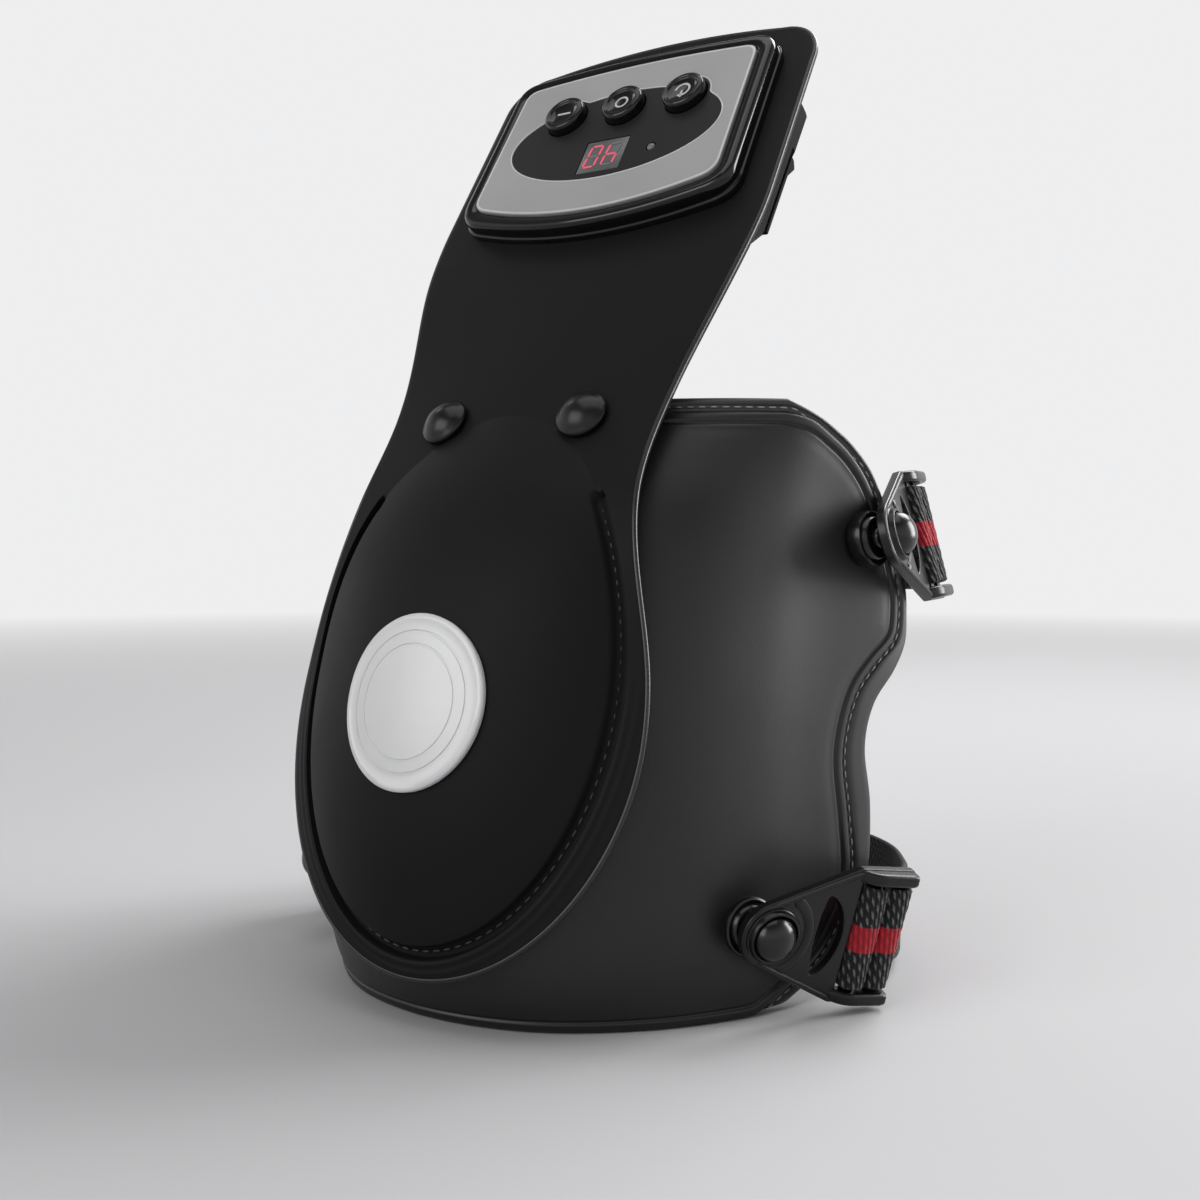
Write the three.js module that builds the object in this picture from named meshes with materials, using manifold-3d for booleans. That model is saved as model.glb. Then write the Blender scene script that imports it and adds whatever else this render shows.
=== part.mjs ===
// Heated knee massager: a padded wrap that closes round the knee, a moulded front panel with
// a vibrating dome, and a control box on a flexible neck that lies on the thigh.
// Millimetres. X runs to the right seen from the front, Y to the back, Z up.

import * as THREE from 'three';
import { mergeVertices } from 'three/addons/utils/BufferGeometryUtils.js';
import Module from 'manifold-3d';

const wasm = await Module();
wasm.setup();

// Clearances
const seat = 0.3;
const layerGap = 0.6;

// Front panel: one moulded sheet, its centre line given as [height, depth]
const panelThickness = 3;
const panelTipHeight = 13.5;
const lobeHeight = 83;
const lobeHalfWidth = 63.4;
const waistHeight = 163;
const waistHalfWidth = 50;
const flangeHeight = 240;
const flangeHalfWidth = 62.6;
const lobeBend = 1 / 150;
const waistBend = 1 / 300;
const neckTilt = THREE.MathUtils.degToRad(33.2);
const panelCentreLine = [[0, -88.2], [30, -87.1], [60, -83], [90, -76.3], [120, -67.3], [146, -55.8]];
const panelLean = 0.66522;
const neckStartRise = 6;

// Dome and the stitched groove round it
const domeHeight = 9.6;
const domeCentreHeight = 92;
const grooveHalfWidth = 54.7;
const grooveReachDown = 70.5;
const grooveReachUp = waistHeight + 8.5 - domeCentreHeight;
const grooveWidth = 4.2;
const grooveDepth = 1.8;
const grooveEndAngle = THREE.MathUtils.degToRad(53);
const emblemHeight = 90;
const emblemRadius = 24;
const emblemThickness = 1.4;

// Rivets that hold the panel to the wrap
const rivetSpacing = 51;
const rivetRise = 7.2;
const rivetHeadRadius = 8;
const rivetHeadRise = 3.2;
const rivetHeadLift = 1.4;
const rivetShankRadius = 2.6;
const rivetTailRadius = 5.4;
const rivetTailThickness = 1;
const rivetTailLift = 2.3;

// Neck hinge and the control box, measured up the neck from the hinge
const hingeRise = 18;
const hingeGap = 0.75;
const neckTopCentre = 149.5;
const neckTopCorner = 145.5;
const neckCornerRadius = 15;
const neckTaper = 0.02;
const boxCentre = 103.7;
const plateRise = 26.75;
const plateDrop = 32.1;
const housingWidth = 98;
const plateHalfTop = housingWidth / 2 - 3.3;
const plateHalfBottom = housingWidth / 2 - 2.1;
const plateBow = 3;
const plateSag = 6.6;
const plateThickness = 1.1;
const bezelRim = 5.8;
const bezelRise = 7.2;
const bezelWall = 2.4;
const buttonSpacing = 23.2;
const buttonShift = 1.5;
const buttonLine = 110.2;
const buttonRadius = 7.4;
const buttonRise = 3.6;
const buttonTravel = 0.8;
const buttonPlay = 0.4;
const insetHalfWidth = plateHalfTop - 5.5;
const insetHalfHeight = 19.3;
const insetCentre = 98.6;
const insetThickness = 0.9;
const displayWidth = 16.6;
const displayHeight = 14.4;
const displayDepth = 4.5;
const displayCentre = 89.3;
const lampRadius = 1.5;
const lampOffset = 18.4;
const boardWidth = housingWidth - 20;
const boardHeight = 44;
const boardThickness = 1.6;
const windowWidth = housingWidth - 16;
const windowHeight = 48;

// Rear housing, its side outline given as [depth behind the panel face, place up the neck]
const housingWall = 2.2;
const housingDepth = 27;
const coverThickness = 1.7;
const housingBottom = 49;
const housingChamferStart = 78;
const housingStep = 112.9;
const housingTop = 132.7;
const latchRise = 2.5;
const batterySize = [66, 12, 36];
const screwSpacing = housingWidth - 14;
const screwLine = 124;
const screwRadius = 1.2;
const screwHeadRadius = 2.7;
const socketRadius = 3.6;

// Wrap: plan line from the middle of the front round to the wing's tip
const wrapPlan = [[31, -71.5], [57, -52.5], [75.5, -27], [86, 0], [95.5, 26], [98.6, 42]];
const wrapPlanFront = -78;
const splayLine = 34;
const footTuck = 6.3;
const footTuckHeight = 25;
const wrapFullness = 5;
const shellThickness = 3.2;
const padThickness = 0.8;
const linerThickness = 3.4;
const bindingThickness = 2.8;
const flexSeam = 38.5;
const flexGap = 2;
const wrapTopRise = 13;
const edgeRows = 20;
const centrePad = { from: -31, to: 31, low: 30, high: waistHeight - 13 };
const wingPad = { from: 52, to: 118, low: 28, high: 148 };

// Outlines of one wing as [distance round the wrap from the front, height]
const shellEdge = [
  [97, 0], [107, 5], [122, 13], [131.5, 25], [135, 37], [133.3, 54], [130.8, 72], [134.9, 88],
  [143, 97], [152, 104], [154, 112], [152.8, 122], [147, 136], [138, 151], [127, 160.5],
  [116, 166], [106, 169.8], [94, 171.8],
];
const bindingEdge = [
  [100.5, 0], [111, 3], [127, 11], [138, 23], [142.8, 37], [143.2, 56], [140.5, 73], [144, 85.5],
  [153, 95], [158.6, 103], [159.4, 111], [158.2, 121], [150.5, 138], [140.5, 153.5],
  [129.5, 162.3], [118, 168], [107.4, 171.8], [93, 175.8],
];

// Studs, buckles and webbing
const studBaseRadius = 8.2;
const studBaseThickness = 1.8;
const studPostRadius = 2.2;
const ballRadius = 6;
const ballStandoff = 11.4;
const ringRadius = 9.6;
const ringTop = 0.9;
const buckleThickness = 2.8;
const socketClearance = 0.35;
const buckleHalfWidth = 20.5;
const shoulderReach = 25;
const buckleReach = 43;
const earThickness = 2.6;
const earRise = 3.4;
const crescentInner = 13;
const crescentOuter = 23;
const crescentHalfWidth = 12.5;
const barWidth = 3.6;
const barPlaces = [30.2, 38.6];
const slotHalfWidth = 17.4;
const webbingWidth = 31;
const webbingThickness = 1.5;
const webbingPlay = 0.35;

// Vibration motors behind the dome
const motorRadius = 3;
const motorLength = 12;
const motorInner = 2.5;
const motorHeight = 80;
const weightRadius = 2.6;
const weightLength = 4;
const cradleThickness = 0.9;
const cradleHeight = 16;
const cradleOverhang = 3;

// Flat cable: drops below the wrap's top and places up the neck
const cableWidth = 8;
const cableThickness = 1;
const cableDrops = [21, 13, 6, 0];
const cableRises = [6, 14, 26, 40, 58];
const cableLifts = [1.2, 0.2, 0.1, 0.1, 0.1];

// Heights that follow the waist
const neckStartHeight = waistHeight + neckStartRise;
const rivetHeight = waistHeight + rivetRise;
const wrapTop = waistHeight + wrapTopRise;
const hingeHeight = waistHeight + hingeRise;

const object = new THREE.Group();

function vec(x, y, z) {
  return new THREE.Vector3(x, y, z);
}

// Smooth line through stations [x, y], read as y at x
function smoothLine(stations) {
  const last = stations.length - 1;
  const slopes = stations.map((station, i) => {
    const before = stations[Math.max(i - 1, 0)];
    const after = stations[Math.min(i + 1, last)];
    return (after[1] - before[1]) / (after[0] - before[0]);
  });
  return (x) => {
    let i = 0;
    while (i < last - 1 && x > stations[i + 1][0]) {
      i += 1;
    }
    const span = stations[i + 1][0] - stations[i][0];
    const t = (x - stations[i][0]) / span;
    const rise = stations[i + 1][1] - stations[i][1];
    const bendIn = slopes[i] * span - rise;
    const bendOut = rise - slopes[i + 1] * span;
    return stations[i][1] + t * rise + t * (1 - t) * (bendIn * (1 - t) + bendOut * t);
  };
}

function smoothStep(edge0, edge1, x) {
  return THREE.MathUtils.smoothstep(x, edge0, edge1);
}

// Closed bodies from points and faces, turned so that the faces point out
function signedVolume(points, faces) {
  return faces.reduce((sum, [a, b, c]) => {
    return sum + points[a].dot(points[b].clone().cross(points[c])) / 6;
  }, 0);
}

function bodyFrom(points, faces) {
  const outward = signedVolume(points, faces) > 0;
  const turned = outward ? faces : faces.map(([a, b, c]) => [a, c, b]);
  const geometry = new THREE.BufferGeometry();
  const numbers = points.flatMap((p) => [p.x, p.y, p.z]);
  geometry.setAttribute('position', new THREE.Float32BufferAttribute(numbers, 3));
  geometry.setIndex(turned.flat());
  return geometry;
}

function quad(a, b, c, d) {
  return [[a, b, c], [a, c, d]];
}

// A sheet of rows and columns between two surfaces, both given as functions of 0 to 1 shares
function sheetBody(rows, columns, front, back) {
  const points = [];
  for (const face of [front, back]) {
    for (let i = 0; i <= rows; i += 1) {
      for (let j = 0; j <= columns; j += 1) {
        points.push(face(i / rows, j / columns));
      }
    }
  }
  const stride = columns + 1;
  const layer = (rows + 1) * stride;
  const at = (i, j, side) => side * layer + i * stride + j;
  const faces = [];
  for (let i = 0; i < rows; i += 1) {
    for (let j = 0; j < columns; j += 1) {
      faces.push(...quad(at(i, j, 0), at(i, j + 1, 0), at(i + 1, j + 1, 0), at(i + 1, j, 0)));
      faces.push(...quad(at(i, j, 1), at(i + 1, j, 1), at(i + 1, j + 1, 1), at(i, j + 1, 1)));
    }
    faces.push(...quad(at(i, 0, 0), at(i + 1, 0, 0), at(i + 1, 0, 1), at(i, 0, 1)));
    faces.push(...quad(at(i, columns, 0), at(i, columns, 1), at(i + 1, columns, 1), at(i + 1, columns, 0)));
  }
  for (let j = 0; j < columns; j += 1) {
    faces.push(...quad(at(0, j, 0), at(0, j, 1), at(0, j + 1, 1), at(0, j + 1, 0)));
    faces.push(...quad(at(rows, j, 0), at(rows, j + 1, 0), at(rows, j + 1, 1), at(rows, j, 1)));
  }
  return bodyFrom(points, faces);
}

// A round sheet of rings about a pole between two surfaces
function roundSheetBody(rings, steps, front, back) {
  const points = [];
  for (const face of [front, back]) {
    points.push(face(0, 0));
    for (let i = 1; i <= rings; i += 1) {
      for (let j = 0; j < steps; j += 1) {
        points.push(face(i, (2 * Math.PI * j) / steps));
      }
    }
  }
  const layer = 1 + rings * steps;
  const at = (i, j, side) => side * layer + (i === 0 ? 0 : 1 + (i - 1) * steps + (j % steps));
  const faces = [];
  for (let j = 0; j < steps; j += 1) {
    faces.push([at(0, 0, 0), at(1, j, 0), at(1, j + 1, 0)]);
    faces.push([at(0, 0, 1), at(1, j + 1, 1), at(1, j, 1)]);
    for (let i = 1; i < rings; i += 1) {
      faces.push(...quad(at(i, j, 0), at(i + 1, j, 0), at(i + 1, j + 1, 0), at(i, j + 1, 0)));
      faces.push(...quad(at(i, j, 1), at(i, j + 1, 1), at(i + 1, j + 1, 1), at(i + 1, j, 1)));
    }
    faces.push(...quad(at(rings, j, 0), at(rings, j, 1), at(rings, j + 1, 1), at(rings, j + 1, 0)));
  }
  return bodyFrom(points, faces);
}

// Joins and cuts
function toSolid(geometry) {
  const bare = geometry.clone();
  bare.deleteAttribute('normal');
  bare.deleteAttribute('uv');
  const merged = mergeVertices(bare, 1e-4);
  return new wasm.Manifold(new wasm.Mesh({
    numProp: 3,
    vertProperties: new Float32Array(merged.getAttribute('position').array),
    triVerts: new Uint32Array(merged.index.array),
  }));
}

function fromSolid(solid) {
  const mesh = solid.getMesh();
  const geometry = new THREE.BufferGeometry();
  geometry.setAttribute('position', new THREE.BufferAttribute(new Float32Array(mesh.vertProperties), 3));
  geometry.setIndex(new THREE.BufferAttribute(new Uint32Array(mesh.triVerts), 1));
  return geometry;
}

function cut(base, ...tools) {
  return fromSolid(tools.reduce((solid, tool) => solid.subtract(toSolid(tool)), toSolid(base)));
}

function join(base, ...others) {
  return fromSolid(others.reduce((solid, other) => solid.add(toSolid(other)), toSolid(base)));
}

// Simple bodies placed by their axes
function barAlongY(radius, from, to, x, z, sides = 20) {
  const bar = new THREE.CylinderGeometry(radius, radius, to - from, sides);
  return bar.translate(x, (from + to) / 2, z);
}

function barAlongX(radius, from, to, y, z, sides = 16) {
  const bar = new THREE.CylinderGeometry(radius, radius, to - from, sides);
  return bar.rotateZ(Math.PI / 2).translate((from + to) / 2, y, z);
}

function box(x0, x1, y0, y1, z0, z1) {
  const block = new THREE.BoxGeometry(x1 - x0, y1 - y0, z1 - z0);
  return block.translate((x0 + x1) / 2, (y0 + y1) / 2, (z0 + z1) / 2);
}

function facingOut(geometry) {
  const bare = geometry.clone();
  bare.deleteAttribute('normal');
  bare.deleteAttribute('uv');
  const merged = mergeVertices(bare, 1e-4);
  const place = merged.getAttribute('position');
  const points = Array.from({ length: place.count }, (_, i) => vec(0, 0, 0).fromBufferAttribute(place, i));
  const corners = Array.from(merged.index.array);
  const faces = Array.from({ length: corners.length / 3 }, (_, i) => corners.slice(3 * i, 3 * i + 3));
  return bodyFrom(points, faces);
}

function turned(outline, sides) {
  return facingOut(new THREE.LatheGeometry(outline.map(([r, h]) => new THREE.Vector2(r, h)), sides));
}

// A flat shape drawn in x and z, thick from y = back towards the front
function frontSlab(shape, back, front, bevel = 0, curveSegments = 6) {
  const slab = new THREE.ExtrudeGeometry(shape, {
    depth: back - front - 2 * bevel,
    bevelEnabled: bevel > 0,
    bevelSize: bevel,
    bevelOffset: -bevel,
    bevelThickness: bevel,
    bevelSegments: 2,
    curveSegments,
  });
  return slab.rotateX(Math.PI / 2).translate(0, back - bevel, 0);
}

function part(name, geometry, colour, roughness, metalness, parent = object) {
  const material = new THREE.MeshStandardMaterial({ color: colour, roughness, metalness });
  const mesh = new THREE.Mesh(geometry, material);
  mesh.name = name;
  parent.add(mesh);
  return mesh;
}

const softBlack = 0x1b1b1c;
const wrapBlack = 0x2a2a2b;
const glossBlack = 0x0c0c0d;
const silver = 0xa9a9aa;

// Front panel surface
const neckSlope = Math.tan(neckTilt);
const [lineEndHeight, lineEndDepth] = panelCentreLine.at(-1);
const neckStart = [neckStartHeight, lineEndDepth + (neckStartHeight - lineEndHeight) * panelLean];
const upperLine = [waistHeight + 30, 260].map((z) => [z, neckStart[1] + (z - neckStart[0]) * neckSlope]);
const centreDepth = smoothLine([...panelCentreLine, neckStart, ...upperLine]);

function panelBend(z) {
  const toWaist = smoothStep(95, neckStart[0], z);
  const toFlat = smoothStep(neckStart[0], boxCentre + 120, z);
  return lobeBend + (waistBend - lobeBend) * toWaist - waistBend * 0.9 * toFlat;
}

function panelHalfWidth(z) {
  if (z < lobeHeight) {
    const drop = (lobeHeight - z) / (lobeHeight - panelTipHeight);
    return lobeHalfWidth * Math.sqrt(Math.max(1 - drop * drop, 0));
  }
  if (z < waistHeight) {
    const t = (z - lobeHeight) / (waistHeight - lobeHeight);
    return waistHalfWidth + (lobeHalfWidth - waistHalfWidth) * (1 + Math.cos(Math.PI * t)) / 2;
  }
  const t = Math.min((z - waistHeight) / (flangeHeight - waistHeight), 1);
  const taper = Math.max(z - flangeHeight, 0) * neckTaper;
  return waistHalfWidth + (flangeHalfWidth - waistHalfWidth) * (1 - Math.cos(Math.PI * t)) / 2 - taper;
}

function panelBase(x, z) {
  return centreDepth(z) + (x * x * panelBend(z)) / 2;
}

// Outward direction of the panel face at its centre line
function panelSlopeAt(z) {
  return Math.atan(centreDepth(z + 0.5) - centreDepth(z - 0.5));
}

// Distances from the dome's centre, in the front view, along a direction
function grooveReach(angle) {
  const reach = Math.sin(angle) > 0 ? grooveReachUp : grooveReachDown;
  return 1 / Math.hypot(Math.cos(angle) / grooveHalfWidth, Math.sin(angle) / reach);
}

const kneePanelTop = hingeHeight - hingeGap * Math.cos(neckTilt);

function panelReach(angle) {
  let near = grooveReach(angle) * 0.5;
  let far = 2 * grooveReachUp;
  for (let i = 0; i < 40; i += 1) {
    const middle = (near + far) / 2;
    const z = domeCentreHeight + middle * Math.sin(angle);
    const x = Math.abs(middle * Math.cos(angle));
    const inside = z > panelTipHeight && z < kneePanelTop && x < panelHalfWidth(z);
    near = inside ? middle : near;
    far = inside ? far : middle;
  }
  return near;
}

function grooveShare(angle) {
  const fromTop = Math.abs(Math.atan2(Math.cos(angle), Math.sin(angle)));
  const endFromTop = Math.PI / 2 - grooveEndAngle;
  return smoothStep(endFromTop - 0.08, endFromTop + 0.04, fromTop);
}

const domeRings = [0, 0.3, 0.55, 0.75, 0.9];
const ringCount = domeRings.length + 5;

// Radius of one ring at an angle: dome, inner lip, groove floor, outer lip, rim, edge
function ringReach(ring, angle) {
  const groove = grooveReach(angle);
  const edge = Math.max(panelReach(angle), groove + grooveWidth);
  if (ring < domeRings.length) {
    return groove * domeRings[ring];
  }
  const places = [
    groove - grooveWidth * 0.55,
    groove - grooveWidth * 0.15,
    groove + grooveWidth * 0.2,
    groove + grooveWidth * 0.5,
    (groove + grooveWidth * 0.5 + edge) / 2,
    edge,
  ];
  return Math.min(places[ring - domeRings.length], panelReach(angle) - (ringCount - ring) * 0.4);
}

function domeRise(x, z) {
  const angle = Math.atan2(z - domeCentreHeight, x);
  const share = Math.hypot(x, z - domeCentreHeight) / grooveReach(angle);
  return domeHeight * Math.pow(Math.max(1 - share * share, 0), 0.8);
}

function kneePanelFront(ring, angle) {
  const reach = ringReach(ring, angle);
  const x = reach * Math.cos(angle);
  const z = domeCentreHeight + reach * Math.sin(angle);
  const inGroove = ring === domeRings.length + 1 || ring === domeRings.length + 2;
  const sunk = inGroove ? grooveDepth * grooveShare(angle) : 0;
  return vec(x, panelBase(x, z) - domeRise(x, z) + sunk, z);
}

function kneePanelBack(ring, angle) {
  const reach = ringReach(ring, angle);
  const x = reach * Math.cos(angle);
  const z = domeCentreHeight + reach * Math.sin(angle);
  const slope = panelSlopeAt(z) * smoothStep(waistHeight - 20, waistHeight, z);
  const through = panelThickness * Math.sin(slope) * smoothStep(waistHeight - 20, hingeHeight, z);
  const depth = (panelThickness - through * Math.sin(slope)) / Math.cos(panelSlopeAt(z));
  return vec(x, panelBase(x, z) - domeRise(x, z) + depth, z - through);
}

// Wrap surface
const planPoints = [
  ...wrapPlan.map(([x, y]) => new THREE.Vector2(-x, y)).reverse(),
  new THREE.Vector2(0, wrapPlanFront),
  ...wrapPlan.map(([x, y]) => new THREE.Vector2(x, y)),
];
const planLine = new THREE.SplineCurve(planPoints);
planLine.arcLengthDivisions = 800;
const planLength = planLine.getLength();

function wrapFront(z) {
  const through = (panelThickness + layerGap) / Math.cos(panelSlopeAt(Math.min(z, wrapTop)));
  const tuck = footTuck * Math.pow(Math.max(1 - z / footTuckHeight, 0), 2);
  return centreDepth(z) + through + tuck;
}

function wrapFace(station, z) {
  const plan = planLine.getPointAt(0.5 + station / planLength);
  const pinch = (splayLine - wrapFront(z)) / (splayLine - wrapPlanFront);
  const window = Math.abs(Math.abs(station) - 66) / 50;
  const fullness = window < 1 ? wrapFullness * Math.pow(Math.cos((window * Math.PI) / 2), 2) : 0;
  const swell = fullness * Math.sin((Math.PI * THREE.MathUtils.clamp(z, 0, wrapTop)) / wrapTop);
  const side = Math.sign(station);
  return vec(plan.x + side * swell * 0.75, splayLine - (splayLine - plan.y) * pinch - swell * 0.66, z);
}

function wrapNormal(station, z) {
  const along = wrapFace(station + 0.5, z).sub(wrapFace(station - 0.5, z));
  const up = wrapFace(station, z + 0.5).sub(wrapFace(station, z - 0.5));
  return along.cross(up).normalize();
}

function wrapLayer(station, z, depth) {
  const inward = wrapNormal(station, z);
  inward.z = 0;
  inward.normalize();
  return wrapFace(station, z).addScaledVector(inward, -depth);
}

// Wing outlines as curves, read by a share of their length
function outlineCurve(stations) {
  return new THREE.SplineCurve(stations.map(([s, z]) => new THREE.Vector2(s, z)));
}

const shellOutline = outlineCurve(shellEdge);
const bindingOutline = outlineCurve(bindingEdge);
const wingStart = flexSeam + flexGap;
const padFrom = shellThickness + layerGap;
const linerFrom = padFrom + padThickness + layerGap;

function mirrored(geometry, side) {
  if (side > 0) {
    return geometry;
  }
  const copy = geometry.index ? geometry.clone() : mergeVertices(geometry.clone());
  copy.scale(-1, 1, 1);
  const order = copy.index.array;
  for (let i = 0; i < order.length; i += 3) {
    [order[i + 1], order[i + 2]] = [order[i + 2], order[i + 1]];
  }
  return copy;
}

function wingSheet(outline, start, bottom, outer, inner, rows, columns) {
  const place = (i, j, depth) => {
    const edge = outline.getPoint(i);
    return wrapLayer(start + (edge.x - start) * j, Math.max(edge.y, bottom), depth);
  };
  return sheetBody(rows, columns, (i, j) => place(i, j, outer), (i, j) => place(i, j, inner));
}

// The binding follows the wing's edge up the side and back along the top
function bindingBody() {
  const foot = 1 / edgeRows;
  const turn = (edgeRows - 1) / (edgeRows + 4);
  const place = (i, j, depth) => {
    const t = foot + (1 - foot) * Math.min(i / turn, 1);
    const past = Math.max((i - turn) / (1 - turn), 0);
    const inner = shellOutline.getPoint(t);
    const outer = bindingOutline.getPoint(t);
    const along = shellOutline.getTangent(t);
    inner.add(new THREE.Vector2(along.y, -along.x).multiplyScalar(layerGap + 0.1));
    inner.x += 3 * Math.max(seat - inner.y, 0);
    inner.y = Math.max(inner.y, seat);
    outer.y = Math.max(outer.y, seat);
    inner.x += (wingStart - inner.x) * past;
    outer.x += (wingStart - outer.x) * past;
    const edge = inner.lerp(outer, j);
    return wrapLayer(edge.x, edge.y, depth);
  };
  const from = layerGap;
  const to = layerGap + bindingThickness;
  return sheetBody(edgeRows + 4, 1, (i, j) => place(i, j, from), (i, j) => place(i, j, to));
}

function padBody({ from, to, low, high }) {
  const place = (i, j, depth) => wrapLayer(from + (to - from) * j, low + (high - low) * i, depth);
  const front = (i, j) => place(i, j, padFrom);
  const back = (i, j) => place(i, j, padFrom + padThickness);
  return sheetBody(6, 8, front, back);
}

function linerBody() {
  const sheet = wingSheet(bindingOutline, 0.2, 0.4, linerFrom, linerFrom + linerThickness, 16, 12);
  const pocket = new THREE.CylinderGeometry(rivetTailRadius + 0.6, rivetTailRadius + 0.6, 40, 14);
  return cut(sheet, pocket.applyMatrix4(rivetFrame(1)));
}

// Rivets
function panelFrame(x, z) {
  const slope = panelSlopeAt(z);
  const normal = vec(-x * panelBend(z), -Math.cos(slope), Math.sin(slope)).normalize();
  const turn = new THREE.Quaternion().setFromUnitVectors(vec(0, 1, 0), normal);
  const middle = vec(x, panelBase(x, z), z);
  return new THREE.Matrix4().compose(middle, turn, vec(1, 1, 1));
}

function rivetFrame(side) {
  return panelFrame((side * rivetSpacing) / 2, rivetHeight);
}

function rivetReach() {
  const x = rivetSpacing / 2;
  const station = x * 1.03;
  const shellBack = wrapLayer(station, rivetHeight, shellThickness);
  const frame = rivetFrame(1).clone().invert();
  return -shellBack.applyMatrix4(frame).y + rivetTailLift;
}

function rivetBody() {
  const headBase = rivetHeadLift;
  const reach = rivetReach();
  const outline = [[0, -reach - rivetTailThickness], [rivetTailRadius, -reach - rivetTailThickness]];
  outline.push([rivetTailRadius, -reach], [rivetShankRadius, -reach], [rivetShankRadius, headBase]);
  outline.push([rivetHeadRadius, headBase], [rivetHeadRadius, headBase + 0.8]);
  for (const share of [0.8, 0.5]) {
    const rise = rivetHeadRise * Math.sqrt(1 - share * share);
    outline.push([rivetHeadRadius * share, headBase + 0.8 + rise]);
  }
  outline.push([0, headBase + 0.8 + rivetHeadRise]);
  return turned(outline, 20);
}

function rivetHole(side) {
  const hole = new THREE.CylinderGeometry(rivetShankRadius + seat, rivetShankRadius + seat, 60, 14);
  return hole.applyMatrix4(rivetFrame(side));
}

function kneePanelBody() {
  const sheet = roundSheetBody(ringCount, 48, kneePanelFront, kneePanelBack);
  return cut(sheet, rivetHole(1), rivetHole(-1));
}

function wrapCentreBody() {
  const place = (i, j, depth) => wrapLayer(flexSeam * (2 * j - 1), wrapTop * i, depth);
  const sheet = sheetBody(14, 8, (i, j) => place(i, j, 0), (i, j) => place(i, j, shellThickness));
  return cut(sheet, rivetHole(1), rivetHole(-1));
}

// The emblem disc is dished to lie on the dome
function emblemBody() {
  const rings = 4;
  const face = (ring, angle, lift, reach) => {
    const x = reach * (ring / rings) * Math.cos(angle);
    const z = emblemHeight + reach * (ring / rings) * Math.sin(angle);
    return vec(x, panelBase(x, z) - domeRise(x, z) - lift, z);
  };
  const back = (ring, angle) => face(ring, angle, seat, emblemRadius);
  const front = (ring, angle) => face(ring, angle, seat + emblemThickness, emblemRadius - 0.6);
  return roundSheetBody(rings, 36, front, back);
}

part('knee_panel', kneePanelBody(), softBlack, 0.6, 0);
part('wrap_centre_shell', wrapCentreBody(), wrapBlack, 0.5, 0);
for (const side of [1, -1]) {
  const name = side > 0 ? 'right' : 'left';
  part(`rivet_${name}`, rivetBody().applyMatrix4(rivetFrame(side)), glossBlack, 0.2, 0.1);
}

part('emblem_disc', emblemBody(), 0xd6d6d6, 0.35, 0.3);

part('heating_pad_centre', padBody(centrePad), 0x303234, 0.7, 0);

// Wings
for (const side of [1, -1]) {
  const name = side > 0 ? 'right' : 'left';
  const shell = wingSheet(shellOutline, wingStart, 0, 0, shellThickness, edgeRows, 10);
  part(`wing_shell_${name}`, mirrored(shell, side), wrapBlack, 0.5, 0);
  part(`wing_binding_${name}`, mirrored(bindingBody(), side), softBlack, 0.5, 0);
  part(`wing_liner_${name}`, mirrored(linerBody(), side), 0x3a3a3d, 0.95, 0);
  part(`heating_pad_${name}`, mirrored(padBody(wingPad), side), 0x303234, 0.7, 0);
}

// Neck: everything here is drawn from the hinge, y towards the back and z up the neck
const neck = new THREE.Group();
neck.position.set(0, neckStart[1] + (hingeHeight - neckStart[0]) * neckSlope, hingeHeight);
neck.rotation.x = -neckTilt;
object.add(neck);

function neckHeight(u) {
  return hingeHeight + u * Math.cos(neckTilt);
}

// The sheet's side-to-side bend, straight back in the object's frame
function neckPoint(x, depth, u) {
  const sag = (x * x * panelBend(neckHeight(u))) / 2;
  return vec(x, sag * Math.cos(neckTilt) + depth, u + sag * Math.sin(neckTilt));
}

function neckPanelFace(i, j, depth) {
  const across = 2 * j - 1;
  const top = neckTopCentre - (neckTopCentre - neckTopCorner) * across * across;
  const share = 1 - Math.pow(1 - i, 1.35);
  const u = hingeGap + (top - hingeGap) * share;
  const cornerStart = neckTopCorner - neckCornerRadius;
  const flat = hingeGap + (neckTopCorner - hingeGap) * share;
  const past = THREE.MathUtils.clamp((flat - cornerStart) / neckCornerRadius, 0, 1);
  const round = neckCornerRadius * (1 - Math.sqrt(1 - past * past));
  const x = across * (panelHalfWidth(neckHeight(flat)) - round);
  return neckPoint(x, depth, u);
}

function neckPanelBody() {
  const front = (i, j) => neckPanelFace(i, j, 0);
  const back = (i, j) => neckPanelFace(i, j, panelThickness);
  const sheet = sheetBody(22, 10, front, back);
  const window = box(-windowWidth / 2, windowWidth / 2, -10, 20,
    boxCentre - windowHeight / 2, boxCentre + windowHeight / 2);
  const screwHoles = screwPlaces.map(([x, z]) => barAlongY(screwRadius + seat, -10, 20, x, z, 12));
  return cut(sheet, window, ...screwHoles);
}

const screwPlaces = [[-screwSpacing / 2, screwLine], [screwSpacing / 2, screwLine]];

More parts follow.
